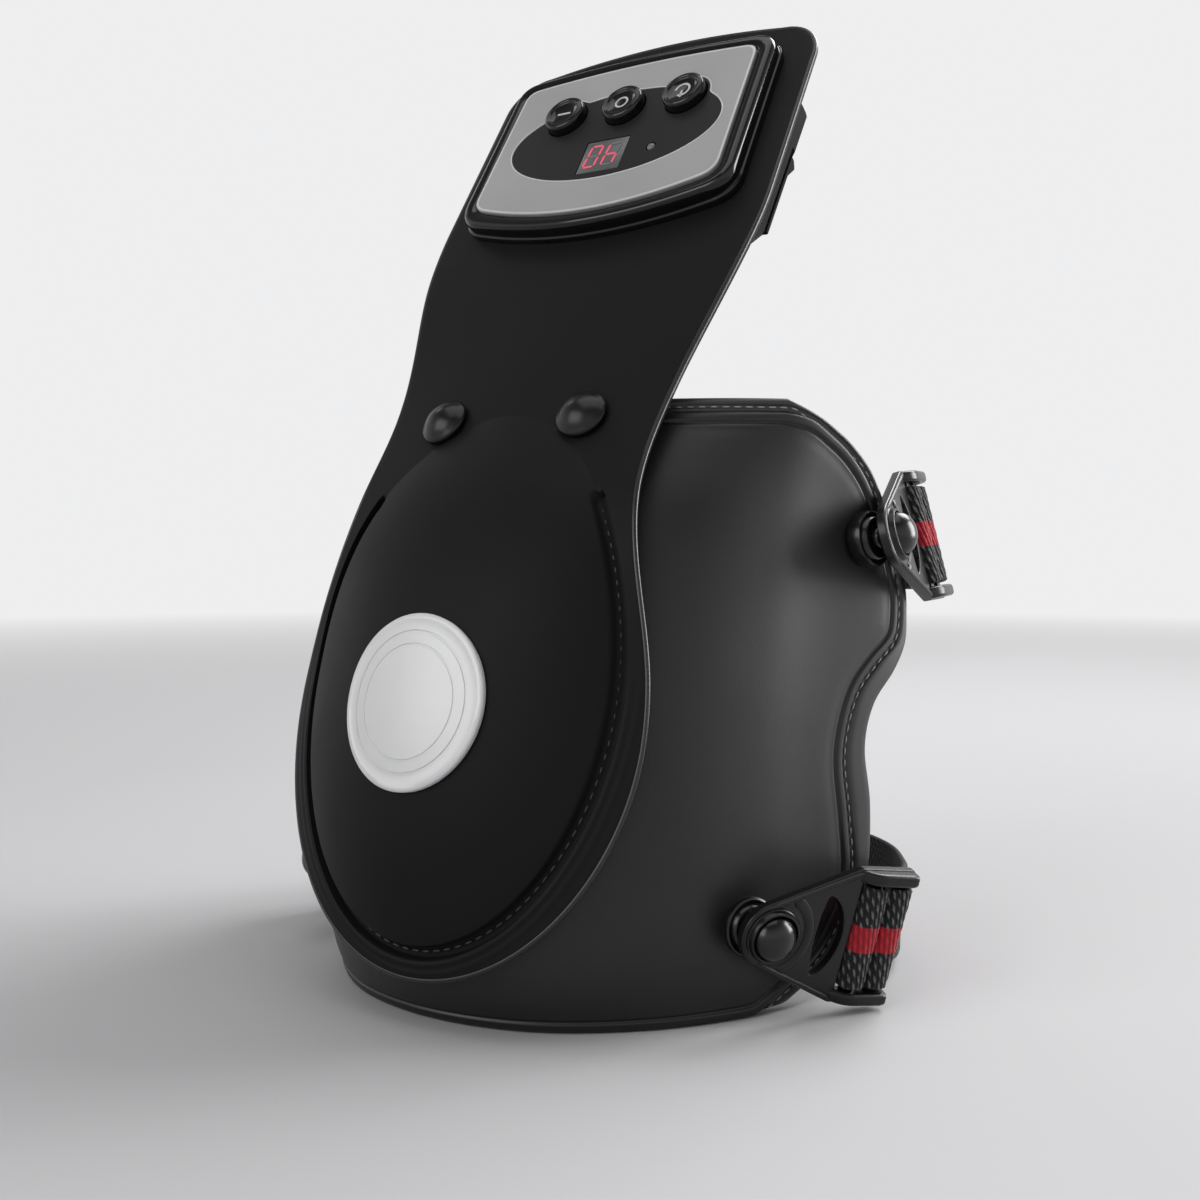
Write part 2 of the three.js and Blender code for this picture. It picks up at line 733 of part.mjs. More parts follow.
// Outline with bowed top and bottom and rounded corners, wider at the foot
function barrelShape(grow) {
  const shape = new THREE.Shape();
  const top = boxCentre + plateRise + grow;
  const foot = boxCentre - plateDrop - grow;
  const halfTop = plateHalfTop + grow;
  const halfFoot = plateHalfBottom + grow;
  const r = 5 + grow / 2;
  const drop = plateBow;
  const turn = foot + (2 * plateSag * r) / (halfFoot - r);
  shape.moveTo(-halfFoot + r, foot);
  shape.quadraticCurveTo(0, foot - 2 * plateSag, halfFoot - r, foot);
  shape.quadraticCurveTo(halfFoot, turn, halfFoot, turn + r);
  shape.lineTo(halfTop, top - r - drop * 0.6);
  shape.quadraticCurveTo(halfTop, top - drop * 0.4, halfTop - r, top - drop * 0.3);
  shape.quadraticCurveTo(0, top + drop, -halfTop + r, top - drop * 0.3);
  shape.quadraticCurveTo(-halfTop, top - drop * 0.4, -halfTop, top - r - drop * 0.6);
  shape.lineTo(-halfFoot, turn + r);
  shape.quadraticCurveTo(-halfFoot, turn, -halfFoot + r, foot);
  return shape;
}

function ellipseShape(x, z, halfWidth, halfHeight) {
  const shape = new THREE.Shape();
  shape.absellipse(x, z, halfWidth, halfHeight, 0, 2 * Math.PI);
  return shape;
}

// Levels in front of the panel face
const bezelFoot = -seat;
const bezelFront = bezelFoot - bezelRise;
const plateBack = bezelFront + 1;
const plateFront = plateBack - plateThickness;
const ledge = plateBack + seat;
const buttonPlaces = [-1, 0, 1].map((i) => buttonShift + i * buttonSpacing);
const buttonNames = ['down', 'mode', 'start'];

function buttonHoles(radius, back, front) {
  return buttonPlaces.map((x) => barAlongY(radius, front, back, x, buttonLine, 22));
}

function bezelBody() {
  const outer = frontSlab(barrelShape(bezelRim), bezelFoot, bezelFront, 1.6, 5);
  const recess = frontSlab(barrelShape(seat), ledge, bezelFront - 3);
  const bore = frontSlab(barrelShape(-bezelWall), bezelFoot + 1, ledge - 1);
  const screwHoles = screwPlaces.map(([x, z]) => barAlongY(screwRadius + 0.15, -3.6, 1, x, z, 12));
  return cut(outer, recess, bore, ...screwHoles);
}

function facePlateBody() {
  const plate = frontSlab(barrelShape(0), plateBack, plateFront);
  const opening = frontSlab(ellipseShape(buttonShift * 0.3, insetCentre, insetHalfWidth, insetHalfHeight),
    plateBack + 1, plateFront - 1, 0, 20);
  return cut(plate, opening, ...buttonHoles(buttonRadius + buttonPlay, plateBack + 1, plateFront - 1));
}

function insetBody() {
  const shape = ellipseShape(buttonShift * 0.3, insetCentre, insetHalfWidth - seat, insetHalfHeight - seat);
  const lens = frontSlab(shape, plateBack, plateBack - insetThickness, 0, 20);
  const window = box(-displayWidth / 2 - seat, displayWidth / 2 + seat, -20, 20,
    displayCentre - displayHeight / 2 - seat, displayCentre + displayHeight / 2 + seat);
  const lampHole = barAlongY(lampRadius + seat, -20, 20, lampOffset, displayCentre, 12);
  const buttonGaps = buttonHoles(buttonRadius + buttonPlay, plateBack + 1, plateFront - 1);
  return cut(lens, window, lampHole, ...buttonGaps);
}

const boardFront = panelThickness - 0.4;
const displayFront = plateBack - insetThickness + 0.2;
const buttonFront = plateFront - buttonRise;
const buttonBack = -1.2;
const flangeFront = plateBack + seat;

function buttonBody() {
  const flange = buttonRadius + 1;
  return turned([
    [0, buttonBack], [flange - 2, buttonBack], [flange - 2, flangeFront + 1], [flange, flangeFront + 1],
    [flange, flangeFront], [buttonRadius, flangeFront],
    [buttonRadius, buttonFront + 0.9], [buttonRadius - 0.9, buttonFront], [buttonRadius - 1.9, buttonFront],
    [buttonRadius - 2.4, buttonFront + 0.5], [0, buttonFront + 0.5],
  ], 22);
}

const switchTop = buttonBack + buttonTravel + seat;

part('neck_panel', neckPanelBody(), softBlack, 0.6, 0, neck);
part('controller_bezel', bezelBody(), glossBlack, 0.15, 0, neck);
part('face_plate', facePlateBody(), silver, 0.35, 0.6, neck);
part('control_inset', insetBody(), 0x2c2c2e, 0.3, 0, neck);
for (const [i, x] of buttonPlaces.entries()) {
  const cap = part(`button_${buttonNames[i]}`, buttonBody(), glossBlack, 0.12, 0, neck);
  cap.position.set(x, 0, buttonLine);
  const click = box(-3, 3, switchTop, boardFront - seat, -3, 3);
  const tactile = part(`tactile_switch_${buttonNames[i]}`, click, 0x202020, 0.4, 0, neck);
  tactile.position.set(x, 0, buttonLine);
}
const display = box(-displayWidth / 2, displayWidth / 2, displayFront, displayFront + displayDepth,
  displayCentre - displayHeight / 2, displayCentre + displayHeight / 2);
part('display_module', display, 0x5a5a5c, 0.4, 0, neck);
const displayPins = box(-displayWidth / 2 + 2, displayWidth / 2 - 2, displayFront + displayDepth + seat,
  boardFront - seat, displayCentre - displayHeight / 2 + 1, displayCentre + displayHeight / 2 - 1);
part('display_socket', displayPins, 0x151515, 0.5, 0, neck);
part('status_lamp', barAlongY(lampRadius, displayFront, boardFront - seat, lampOffset, displayCentre, 12),
  0x8a8a8c, 0.2, 0, neck);
part('circuit_board', box(-boardWidth / 2, boardWidth / 2, boardFront, boardFront + boardThickness,
  boxCentre - boardHeight / 2, boxCentre + boardHeight / 2), 0x1f5a36, 0.5, 0, neck);

// Rear housing, drawn in its side view and stretched along x
const housingFront = panelThickness + seat + 0.35;
const housingBack = housingDepth - coverThickness - seat;

function sideSolid(outline, width, bevel = 0) {
  const shape = new THREE.Shape(outline.map(([y, z]) => new THREE.Vector2(y, z)));
  const solid = new THREE.ExtrudeGeometry(shape, {
    depth: width - 2 * bevel,
    bevelEnabled: bevel > 0,
    bevelSize: bevel,
    bevelOffset: -bevel,
    bevelThickness: bevel,
    bevelSegments: 1,
  });
  return solid.translate(0, 0, bevel - width / 2).applyMatrix4(
    new THREE.Matrix4().makeBasis(vec(0, 1, 0), vec(0, 0, 1), vec(1, 0, 0)),
  );
}

function rearHousingBody() {
  const outer = sideSolid([
    [housingFront, housingBottom], [housingFront + 11, housingBottom + 9],
    [housingBack, housingChamferStart - 1], [housingBack, housingStep],
    [housingDepth, housingStep], [housingDepth, housingTop - 1],
    [housingDepth - 2.5, housingTop], [housingFront, housingTop],
  ], housingWidth, 1.5);
  const w = housingWall;
  const inner = sideSolid([
    [housingFront - 5, housingBottom + w + 2], [housingFront + 9.5, housingBottom + w + 11],
    [housingBack - w, housingChamferStart + 1], [housingBack - w, housingTop - w - 1.5],
    [housingFront - 5, housingTop - w - 1.5],
  ], housingWidth - 2 * w);
  const cable = box(-cableWidth / 2 - seat, cableWidth / 2 + seat, 0, housingFront + 2.6,
    housingBottom - 5, housingBottom + 12);
  const screwHoles = screwPlaces.map(([x, z]) => {
    return barAlongY(screwRadius + seat, housingFront - 1, housingDepth + 1, x, z, 12);
  });
  const socket = barAlongX(socketRadius + seat, -housingWidth / 2 - 1, -housingWidth / 2 + w + 1,
    housingBack / 2 + 1, boxCentre, 16);
  return cut(outer, inner, cable, socket, ...screwHoles);
}

function batteryCoverBody() {
  return sideSolid([
    [housingBack + seat, housingChamferStart + 1], [housingDepth, housingChamferStart + 1],
    [housingDepth, housingStep - 8], [housingDepth + latchRise, housingStep - 2.6],
    [housingDepth + 0.4, housingStep - seat], [housingBack + seat, housingStep - seat],
  ], housingWidth - 1);
}

part('rear_housing', rearHousingBody(), softBlack, 0.45, 0, neck);
part('battery_cover', batteryCoverBody(), softBlack, 0.4, 0, neck);
const [batteryWidth, batteryThickness, batteryHeight] = batterySize;
const batteryBack = housingBack - housingWall - seat;
part('battery_pack', box(-batteryWidth / 2, batteryWidth / 2, batteryBack - batteryThickness, batteryBack,
  boxCentre - batteryHeight / 2, boxCentre + batteryHeight / 2), 0x2f5fa8, 0.5, 0, neck);

function screwBody() {
  const outline = [
    [0, -3.2], [screwRadius, -3.2], [screwRadius, housingDepth + seat],
    [screwHeadRadius, housingDepth + seat], [screwHeadRadius, housingDepth + 0.9],
    [screwHeadRadius - 0.6, housingDepth + 1.4], [0, housingDepth + 1.4],
  ];
  return turned(outline, 14);
}

for (const [i, [x, z]] of screwPlaces.entries()) {
  const screw = part(`housing_screw_${i === 0 ? 'left' : 'right'}`, screwBody(), 0x77787a, 0.3, 0.9, neck);
  screw.position.set(x, 0, z);
}

function chargingSocketBody() {
  const depth = housingWall + 6;
  const sleeve = turned([
    [0, 0], [socketRadius - 1, 0], [socketRadius - 1, -1], [socketRadius, -1], [socketRadius, -depth],
    [0, -depth],
  ], 16);
  const ringInner = socketRadius - 1.8;
  const foot = 1.5 - depth;
  const bore = turned([[1, foot], [ringInner, foot], [ringInner, 1], [1, 1], [1, foot]], 16);
  return cut(sleeve, bore);
}

const socket = part('charging_socket', chargingSocketBody(), 0x1a1a1a, 0.4, 0, neck);
socket.position.set(-housingWidth / 2 + 0.2, housingBack / 2 + 1, boxCentre);
socket.rotation.z = Math.PI / 2;

// Flat cable from the board down the neck's back and in behind the wrap's front
function ribbonBody(line, thickness, width) {
  const curve = new THREE.SplineCurve(line.map(([y, z]) => new THREE.Vector2(y, z)));
  const steps = 24;
  const sides = [[], []];
  for (let i = 0; i <= steps; i += 1) {
    const at = curve.getPointAt(i / steps);
    const along = curve.getTangentAt(i / steps);
    sides[0].push([at.x, at.y]);
    sides[1].push([at.x - along.y * thickness, at.y + along.x * thickness]);
  }
  return facingOut(sideSolid([...sides[0], ...sides[1].reverse()], width));
}

function neckToObject(y, z) {
  const turnedPoint = vec(0, y, z).applyAxisAngle(vec(1, 0, 0), -neckTilt).add(neck.position);
  return [turnedPoint.y, turnedPoint.z];
}

const cableLevel = panelThickness + seat;
const cableDepth = shellThickness + seat;

function cableInWrap(z) {
  const at = wrapLayer(0, z, cableDepth);
  return [at.y, at.z];
}

const cableLine = [
  ...cableDrops.map((drop) => cableInWrap(wrapTop - drop)),
  ...cableRises.map((rise, i) => neckToObject(cableLevel + cableLifts[i], rise)),
];
part('neck_cable', ribbonBody(cableLine, -cableThickness, cableWidth), 0x161616, 0.6, 0);

// Studs and buckles, drawn for the right side and mirrored to the left
const buckles = {
  upper: {
    station: 137, height: 134.6, lean: 0.5,
    along: vec(-0.13, 0.991, 0), bars: vec(-0.25, 0, 0.97),
  },
  lower: {
    station: 95.8, height: 27, lean: 0.1,
    along: vec(0.5, 0.85, -0.13), bars: vec(0.33, 0.1, 0.93),
  },
};

function buckleFrame(spot) {
  const along = spot.along.clone().normalize();
  const outward = along.clone().cross(spot.bars).normalize();
  const across = outward.clone().cross(along).normalize();
  const foot = wrapFace(spot.station, spot.height);
  const surface = wrapNormal(spot.station, spot.height);
  const axis = surface.clone().lerp(outward, spot.lean).normalize();
  const lift = studBaseRadius * Math.sin(axis.angleTo(surface));
  const ball = foot.clone().addScaledVector(axis, ballStandoff);
  const basis = new THREE.Matrix4().makeBasis(along, across, outward);
  return { along, across, outward, foot, axis, lift, matrix: basis.setPosition(ball) };
}

function studBody(frame) {
  const standoff = ballStandoff;
  const collar = studPostRadius * 1.4;
  const base = seat + frame.lift;
  const outline = [
    [0, base], [studBaseRadius, base], [studBaseRadius, base + studBaseThickness * 0.6],
    [studBaseRadius - 1.2, base + studBaseThickness], [collar, base + studBaseThickness],
    [studPostRadius, base + studBaseThickness + 0.8],
  ];
  const rings = 6;
  const start = Math.asin(studPostRadius / ballRadius);
  for (let i = 0; i <= rings; i += 1) {
    const angle = start + ((Math.PI - start) * i) / rings;
    const radius = i === rings ? 0 : ballRadius * Math.sin(angle);
    outline.push([radius, standoff - ballRadius * Math.cos(angle)]);
  }
  const stud = turned(outline, 16);
  const turn = new THREE.Quaternion().setFromUnitVectors(vec(0, 1, 0), frame.axis);
  return stud.applyMatrix4(new THREE.Matrix4().compose(frame.foot, turn, vec(1, 1, 1)));
}

// Triangular buckle frame: ring round the ball, crescent opening, two bars, a raised ear at each end
function buckleBody() {
  const angle = Math.atan2(buckleHalfWidth - ringRadius, shoulderReach);
  const tangent = Math.PI / 2 + angle * 0.9;
  const outline = new THREE.Shape();
  outline.absarc(0, 0, ringRadius, tangent, 2 * Math.PI - tangent, false);
  outline.lineTo(shoulderReach, -buckleHalfWidth);
  outline.lineTo(buckleReach, -buckleHalfWidth);
  outline.lineTo(buckleReach, buckleHalfWidth);
  outline.lineTo(shoulderReach, buckleHalfWidth);
  outline.closePath();
  const tip = crescentHalfWidth;
  const crescent = new THREE.Path();
  crescent.moveTo(crescentInner, 0);
  crescent.quadraticCurveTo(crescentInner, tip * 0.55, crescentInner + 3, tip);
  crescent.quadraticCurveTo(crescentOuter - 1, tip * 0.75, crescentOuter, 0);
  crescent.quadraticCurveTo(crescentOuter - 1, -tip * 0.75, crescentInner + 3, -tip);
  crescent.quadraticCurveTo(crescentInner, -tip * 0.55, crescentInner, 0);
  outline.holes.push(crescent);
  const [firstBar, secondBar] = barPlaces;
  const slots = [
    [firstBar - barWidth / 2 - 3, firstBar - barWidth / 2],
    [firstBar + barWidth / 2, secondBar - barWidth / 2],
    [secondBar + barWidth / 2, buckleReach + 1],
  ].map(([from, to]) => box(from, to, -slotHalfWidth, slotHalfWidth, -20, 20));
  const sheet = { depth: buckleThickness, bevelEnabled: false, curveSegments: 8 };
  const plate = new THREE.ExtrudeGeometry(outline, sheet);
  plate.translate(0, 0, -ringTop - buckleThickness);
  const seatBall = new THREE.SphereGeometry(ballRadius + socketClearance, 20, 12);
  const ears = [1, -1].map((side) => {
    const edge = side * buckleHalfWidth;
    const inner = side * (buckleHalfWidth - earThickness);
    return box(shoulderReach, buckleReach, Math.min(edge, inner), Math.max(edge, inner),
      -ringTop - buckleThickness + 0.01, -ringTop + earRise);
  });
  return cut(join(plate, ...ears), ...slots, seatBall);
}

// Webbing over both bars: down through the inner slot, over the bars, round the outer one
function webbingLoopBody() {
  const top = -ringTop + webbingPlay + webbingThickness / 2;
  const foot = -ringTop - buckleThickness - webbingPlay - webbingThickness / 2;
  const reach = barWidth / 2 + webbingPlay + webbingThickness / 2;
  const [firstBar, secondBar] = barPlaces;
  const dip = (firstBar + secondBar) / 2;
  const line = [
    [firstBar - reach, foot + 0.6], [firstBar - reach, top - 1], [firstBar - reach + 1, top],
    [firstBar + reach - 1, top], [firstBar + reach - 0.2, top - 0.8], [dip, top - 1.3],
    [secondBar - reach + 0.2, top - 0.8], [secondBar - reach + 1, top], [secondBar + reach - 1, top],
    [secondBar + reach, top - 1], [secondBar + reach, foot - 0.2],
  ];
  return stripBody(line, webbingThickness, webbingWidth);
}

// A strip of even thickness along a line of corners, drawn in x and z, stretched along y
function stripBody(line, thickness, width) {
  const sides = [[], []];
  line.forEach(([x, z], i) => {
    const [x0, z0] = line[Math.max(i - 1, 0)];
    const [x1, z1] = line[Math.min(i + 1, line.length - 1)];
    const length = Math.hypot(x1 - x0, z1 - z0);
    const offset = thickness / 2 / length;
    sides[0].push([x - (z1 - z0) * offset, z + (x1 - x0) * offset]);
    sides[1].push([x + (z1 - z0) * offset, z - (x1 - x0) * offset]);
  });
  const outline = [...sides[0], ...sides[1].reverse()].map(([x, z]) => new THREE.Vector2(x, z));
  const strip = new THREE.ExtrudeGeometry(new THREE.Shape(outline), { depth: width, bevelEnabled: false });
  return facingOut(strip.translate(0, 0, -width / 2).rotateX(Math.PI / 2));
}

// The band leaves the outer bar, turns upright and runs round the back to the middle
function bandLine(spot, frame, back) {
  const [, secondBar] = barPlaces;
  const reach = barWidth / 2 + webbingPlay + webbingThickness / 2;
  const foot = -ringTop - buckleThickness - webbingPlay - webbingThickness / 2;
  const start = vec(secondBar + reach, 0, foot - 0.2 - seat - 0.5).applyMatrix4(frame.matrix);
  const heading = frame.outward.clone().multiplyScalar(-1).addScaledVector(frame.along, spot.follow);
  heading.normalize();
  const arc = [];
  const steps = 5;
  for (let i = 1; i <= steps; i += 1) {
    const angle = (Math.PI / 2) * (i / steps);
    arc.push(vec(back.halfWidth * Math.cos(angle), back.from + (back.reach - back.from) * Math.sin(angle),
      back.height + (start.z - back.height) * Math.pow(1 - i / steps, 2)));
  }
  const lead = start.clone().addScaledVector(heading, 7);
  return new THREE.CatmullRomCurve3([start, lead, ...arc], false, 'centripetal');
}

function bandBody(curve, frame, from, to, rows) {
  const place = (i, j, depth) => {
    const t = from + (to - from) * i;
    const upright = frame.across.clone().lerp(vec(0, 0, 1), smoothStep(0, 0.35, t)).normalize();
    const along = curve.getTangentAt(t);
    const outward = along.clone().cross(upright).normalize();
    const middle = curve.getPointAt(t).addScaledVector(outward, depth);
    return middle.addScaledVector(upright, (j - 0.5) * webbingWidth);
  };
  const half = webbingThickness / 2;
  return sheetBody(rows, 1, (i, j) => place(i, j, half), (i, j) => place(i, j, -half));
}

buckles.upper.follow = 2.2;
buckles.upper.back = { halfWidth: 93, from: 56, reach: 106, height: 132 };
buckles.lower.follow = 0.9;
buckles.lower.back = { halfWidth: 99, from: 4, reach: 104, height: webbingWidth / 2 };
const endShare = 0.78;

for (const [level, spot] of Object.entries(buckles)) {
  const frame = buckleFrame(spot);
  const band = bandLine(spot, frame, spot.back);
  for (const side of [1, -1]) {
    const name = `${level}_${side > 0 ? 'right' : 'left'}`;
    const buckle = buckleBody().applyMatrix4(frame.matrix);
    const loop = webbingLoopBody().applyMatrix4(frame.matrix);
    const half = bandBody(band, frame, 0, endShare, 16);
    part(`stud_${name}`, mirrored(studBody(frame), side), glossBlack, 0.1, 0);
    part(`buckle_${name}`, mirrored(buckle, side), glossBlack, 0.15, 0);
    part(`strap_loop_${name}`, mirrored(loop, side), 0x151515, 0.9, 0);
    part(`strap_side_${name}`, mirrored(half, side), 0x151515, 0.9, 0);
  }
  const rear = bandBody(band, frame, endShare + 0.004, 1, 5);
  part(`strap_rear_${level}`, join(rear, mirrored(rear, -1)), 0x151515, 0.9, 0);
}

// Motors in the dome, on a cradle that rests on the wrap, with their weights hanging down
const dome = new THREE.Group();
dome.applyMatrix4(panelFrame(0, motorHeight));
object.add(dome);
const cradleBack = -panelThickness - layerGap + seat;
const cradleFront = cradleBack + cradleThickness;
const motorLevel = cradleFront + seat + motorRadius;
const motorEnd = motorInner + motorLength;

function weightBody() {
  const half = new THREE.Shape();
  half.moveTo(weightRadius * 0.35, 0);
  half.absarc(0, 0, weightRadius, 0, Math.PI, false);
  half.lineTo(-weightRadius * 0.35, 0);
  half.absarc(0, 0, weightRadius * 0.35, Math.PI, 2 * Math.PI, false);
  const length = { depth: weightLength, bevelEnabled: false, curveSegments: 10 };
  const weight = new THREE.ExtrudeGeometry(half, length);
  return facingOut(weight.rotateY(Math.PI / 2));
}

const cradleReach = motorEnd + cradleOverhang;
const cradle = box(-cradleReach, cradleReach, cradleBack, cradleFront, -cradleHeight / 2, cradleHeight / 2);
part('motor_cradle', cradle, 0x3c3c3e, 0.6, 0, dome);
for (const side of [1, -1]) {
  const name = side > 0 ? 'right' : 'left';
  const from = side > 0 ? motorInner : -motorEnd;
  part(`motor_${name}`, barAlongX(motorRadius, from, from + motorLength, motorLevel, 0, 18),
    0x9a9a9c, 0.3, 0.9, dome);
  const weight = part(`motor_weight_${name}`, mirrored(weightBody(), side), 0x7a7468, 0.35, 0.9, dome);
  weight.position.set(side * (motorEnd + 0.4), motorLevel, 0);
  weight.rotation.x = Math.PI / 2 + panelSlopeAt(motorHeight);
}

// The middle of the footprint stands on the origin
object.updateMatrixWorld(true);
const reach = new THREE.Box3().setFromObject(object, true);
object.position.y = -(reach.min.y + reach.max.y) / 2;

export default object;
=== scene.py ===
"""Heated knee massager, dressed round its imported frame.

Lengths are in millimetres until a mesh is made. X runs to the right seen from the front, Y to the
back, Z up. The plan is drawn from the middle of the leg and moved with the frame, whose footprint
has its middle on the origin.
"""

from __future__ import annotations

import bisect
import functools
import logging
from dataclasses import dataclass, field
from enum import Enum
from math import asin, atan, atan2, copysign, cos, degrees, exp, hypot, pi, radians, sin, sqrt, tan, tau
from typing import Callable, Sequence

import bmesh
import bpy
from mathutils import Matrix, Vector
from mathutils.geometry import tessellate_polygon


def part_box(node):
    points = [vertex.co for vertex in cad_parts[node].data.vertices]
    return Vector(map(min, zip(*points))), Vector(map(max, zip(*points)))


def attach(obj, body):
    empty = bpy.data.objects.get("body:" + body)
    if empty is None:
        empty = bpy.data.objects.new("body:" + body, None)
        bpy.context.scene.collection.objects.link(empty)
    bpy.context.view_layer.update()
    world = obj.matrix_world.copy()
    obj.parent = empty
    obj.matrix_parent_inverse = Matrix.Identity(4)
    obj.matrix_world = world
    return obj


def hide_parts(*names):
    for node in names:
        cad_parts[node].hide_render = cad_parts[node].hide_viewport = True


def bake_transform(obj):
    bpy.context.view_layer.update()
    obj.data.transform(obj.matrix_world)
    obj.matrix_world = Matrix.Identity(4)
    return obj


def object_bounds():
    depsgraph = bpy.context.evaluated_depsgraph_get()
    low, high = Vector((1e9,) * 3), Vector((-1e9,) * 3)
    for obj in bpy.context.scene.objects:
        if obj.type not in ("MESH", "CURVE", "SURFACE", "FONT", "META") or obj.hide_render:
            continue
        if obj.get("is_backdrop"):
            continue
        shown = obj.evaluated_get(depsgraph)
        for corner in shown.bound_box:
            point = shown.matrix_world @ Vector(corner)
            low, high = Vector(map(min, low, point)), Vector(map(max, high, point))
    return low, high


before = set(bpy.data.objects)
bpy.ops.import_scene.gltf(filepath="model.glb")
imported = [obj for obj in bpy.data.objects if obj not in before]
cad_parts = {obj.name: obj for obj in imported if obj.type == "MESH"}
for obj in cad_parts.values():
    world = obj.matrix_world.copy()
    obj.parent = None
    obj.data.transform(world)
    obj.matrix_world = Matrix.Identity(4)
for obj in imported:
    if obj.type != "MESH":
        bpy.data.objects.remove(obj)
CAD_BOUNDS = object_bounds()
LOG = logging.getLogger("massager")
MM = 0.001

Pair = tuple[float, float]
Triple = tuple[float, float, float]
Socket = bpy.types.NodeSocket
Piece = bpy.types.Object
Points = Sequence[Vector]


class Side(Enum):
    """The two sides, seen from the front."""

    RIGHT = 1
    LEFT = -1

    @property
    def word(self) -> str:
        """The side's word in a node's name."""
        return self.name.lower()

    def turn(self, p: Vector) -> Vector:
        """A right-hand place, or its mirror image for the left side."""
        return Vector((p.x * self.value, p.y, p.z))


class Level(Enum):
    """The two straps."""

    UPPER = "upper"
    LOWER = "lower"


def smooth_step(edge0: float, edge1: float, x: float) -> float:
    """Eases from 0 at edge0 to 1 at edge1."""
    t = min(max((x - edge0) / (edge1 - edge0), 0.0), 1.0)
    return t * t * (3 - 2 * t)


def bell(x: float, middle: float, width: float) -> float:
    """A bell curve, 1 at its middle."""
    return exp(-((x - middle) / width) ** 2)


# Lines


class SmoothLine:
    """A smooth line through stations, read as y at x."""

    def __init__(self, stations: Sequence[Pair]) -> None:
        """Works out the slope at each station, x rising."""
        self.stations = list(stations)
        near = zip(self.stations[:1] + self.stations, self.stations[1:] + self.stations[-1:])
        self.slopes = [(y1 - y0) / (x1 - x0) for (x0, y0), (x1, y1) in near]

    def __call__(self, x: float) -> float:
        """Reads the line's height at x."""
        i = 0
        while i < len(self.stations) - 2 and x > self.stations[i + 1][0]:
            i += 1
        (x0, y0), (x1, y1) = self.stations[i:i + 2]
        span, rise = x1 - x0, y1 - y0
        t = (x - x0) / span
        bend_in, bend_out = self.slopes[i] * span - rise, rise - self.slopes[i + 1] * span
        return y0 + t * rise + t * (1 - t) * (bend_in * (1 - t) + bend_out * t)


class Spline:
    """A line through points of any dimension, all stations an equal step apart."""

    def __init__(self, points: Sequence[Sequence[float]], divisions: int = 800) -> None:
        """Measures the line.

        Args:
            points: the stations.
            divisions: steps for its length.
        """
        self.points = [Vector(p) for p in points]
        places = [self.at(i / divisions) for i in range(divisions + 1)]
        self.table = [0.0]
        for one, two in zip(places, places[1:]):
            self.table.append(self.table[-1] + (two - one).length)
        self.length = self.table[-1]

    def _speeds(self, i: int) -> tuple[Vector, Vector]:
        """How fast the line runs at both ends of a stretch."""
        p0, p3 = self.points[max(i - 1, 0)], self.points[min(i + 2, len(self.points) - 1)]
        return (self.points[i + 1] - p0) * 0.5, (p3 - self.points[i]) * 0.5

    def at(self, t: float) -> Vector:
        """The point at a share of the stations."""
        last = len(self.points) - 1
        place = min(max(t, 0.0), 1.0) * last
        i = min(int(place), last - 1)
        w, p1, p2 = place - i, self.points[i], self.points[i + 1]
        v1, v2 = self._speeds(i)
        cubic = (2 * p1 - 2 * p2 + v1 + v2) * w ** 3
        return cubic + (-3 * p1 + 3 * p2 - 2 * v1 - v2) * w ** 2 + v1 * w + p1

    def along(self, share: float) -> Vector:
        """The point at a share of the length."""
        last = len(self.table) - 1
        goal = min(max(share, 0.0), 1.0) * self.length
        i = min(max(bisect.bisect_right(self.table, goal) - 1, 0), last - 1)
        return self.at((i + (goal - self.table[i]) / (self.table[i + 1] - self.table[i])) / last)

    def tangent(self, share: float, reach: float = 0.004) -> Vector:
        """The direction at a share of the length."""
        return (self.along(share + reach) - self.along(share - reach)).normalized()

    def evenly(self, count: int) -> list[Vector]:
        """Points an equal distance apart."""
        return [self.along(i / (count - 1)) for i in range(count)]


class ThroughLine(Spline):
    """A line drawn with centripetal spacing, for points at uneven distances."""

    def _speeds(self, i: int) -> tuple[Vector, Vector]:
        """How fast the line runs at both ends of a stretch."""
        points, last = self.points, len(self.points) - 1
        p1, p2 = points[i], points[i + 1]
        p0 = points[i - 1] if i > 0 else p1 * 2 - p2
        p3 = points[i + 2] if i + 2 <= last else p2 * 2 - p1
        d0, d1, d2 = (p1 - p0).length ** 0.5, (p2 - p1).length ** 0.5, (p3 - p2).length ** 0.5
        v1 = ((p1 - p0) / d0 - (p2 - p0) / (d0 + d1) + (p2 - p1) / d1) * d1
        v2 = ((p2 - p1) / d1 - (p3 - p1) / (d1 + d2) + (p3 - p2) / d2) * d1
        return v1, v2


def arc(radii: Pair, start: float, end: float, steps: int, centre: Pair = (0.0, 0.0)) -> list[Pair]:
    """Points of an elliptical arc with both its ends, its angles in degrees from the first axis."""
    angles = [radians(start + (end - start) * i / steps) for i in range(steps + 1)]
    return [(centre[0] + radii[0] * cos(a), centre[1] + radii[1] * sin(a)) for a in angles]


def oval(centre: Pair, radius: float, count: int) -> list[Pair]:
    """Points round a circle."""
    return arc((radius, radius), 0, 360, count, centre)[:-1]


def rect(left: float, low: float, right: float, high: float) -> list[Pair]:
    """The corners of a rectangle."""
    return [(left, low), (right, low), (right, high), (left, high)]


def bent(start: Pair, pull: Pair | None, end: Pair, count: int) -> list[Pair]:
    """Points of a curve drawn towards a pull point, or of a straight line, without its end."""
    if pull is None:
        pull = ((start[0] + end[0]) / 2, (start[1] + end[1]) / 2)
    shares = [i / count for i in range(count)]
    ends = list(zip(start, pull, end))
    return [tuple((1 - t) ** 2 * a + 2 * t * (1 - t) * b + t * t * c for a, b, c in ends) for t in shares]


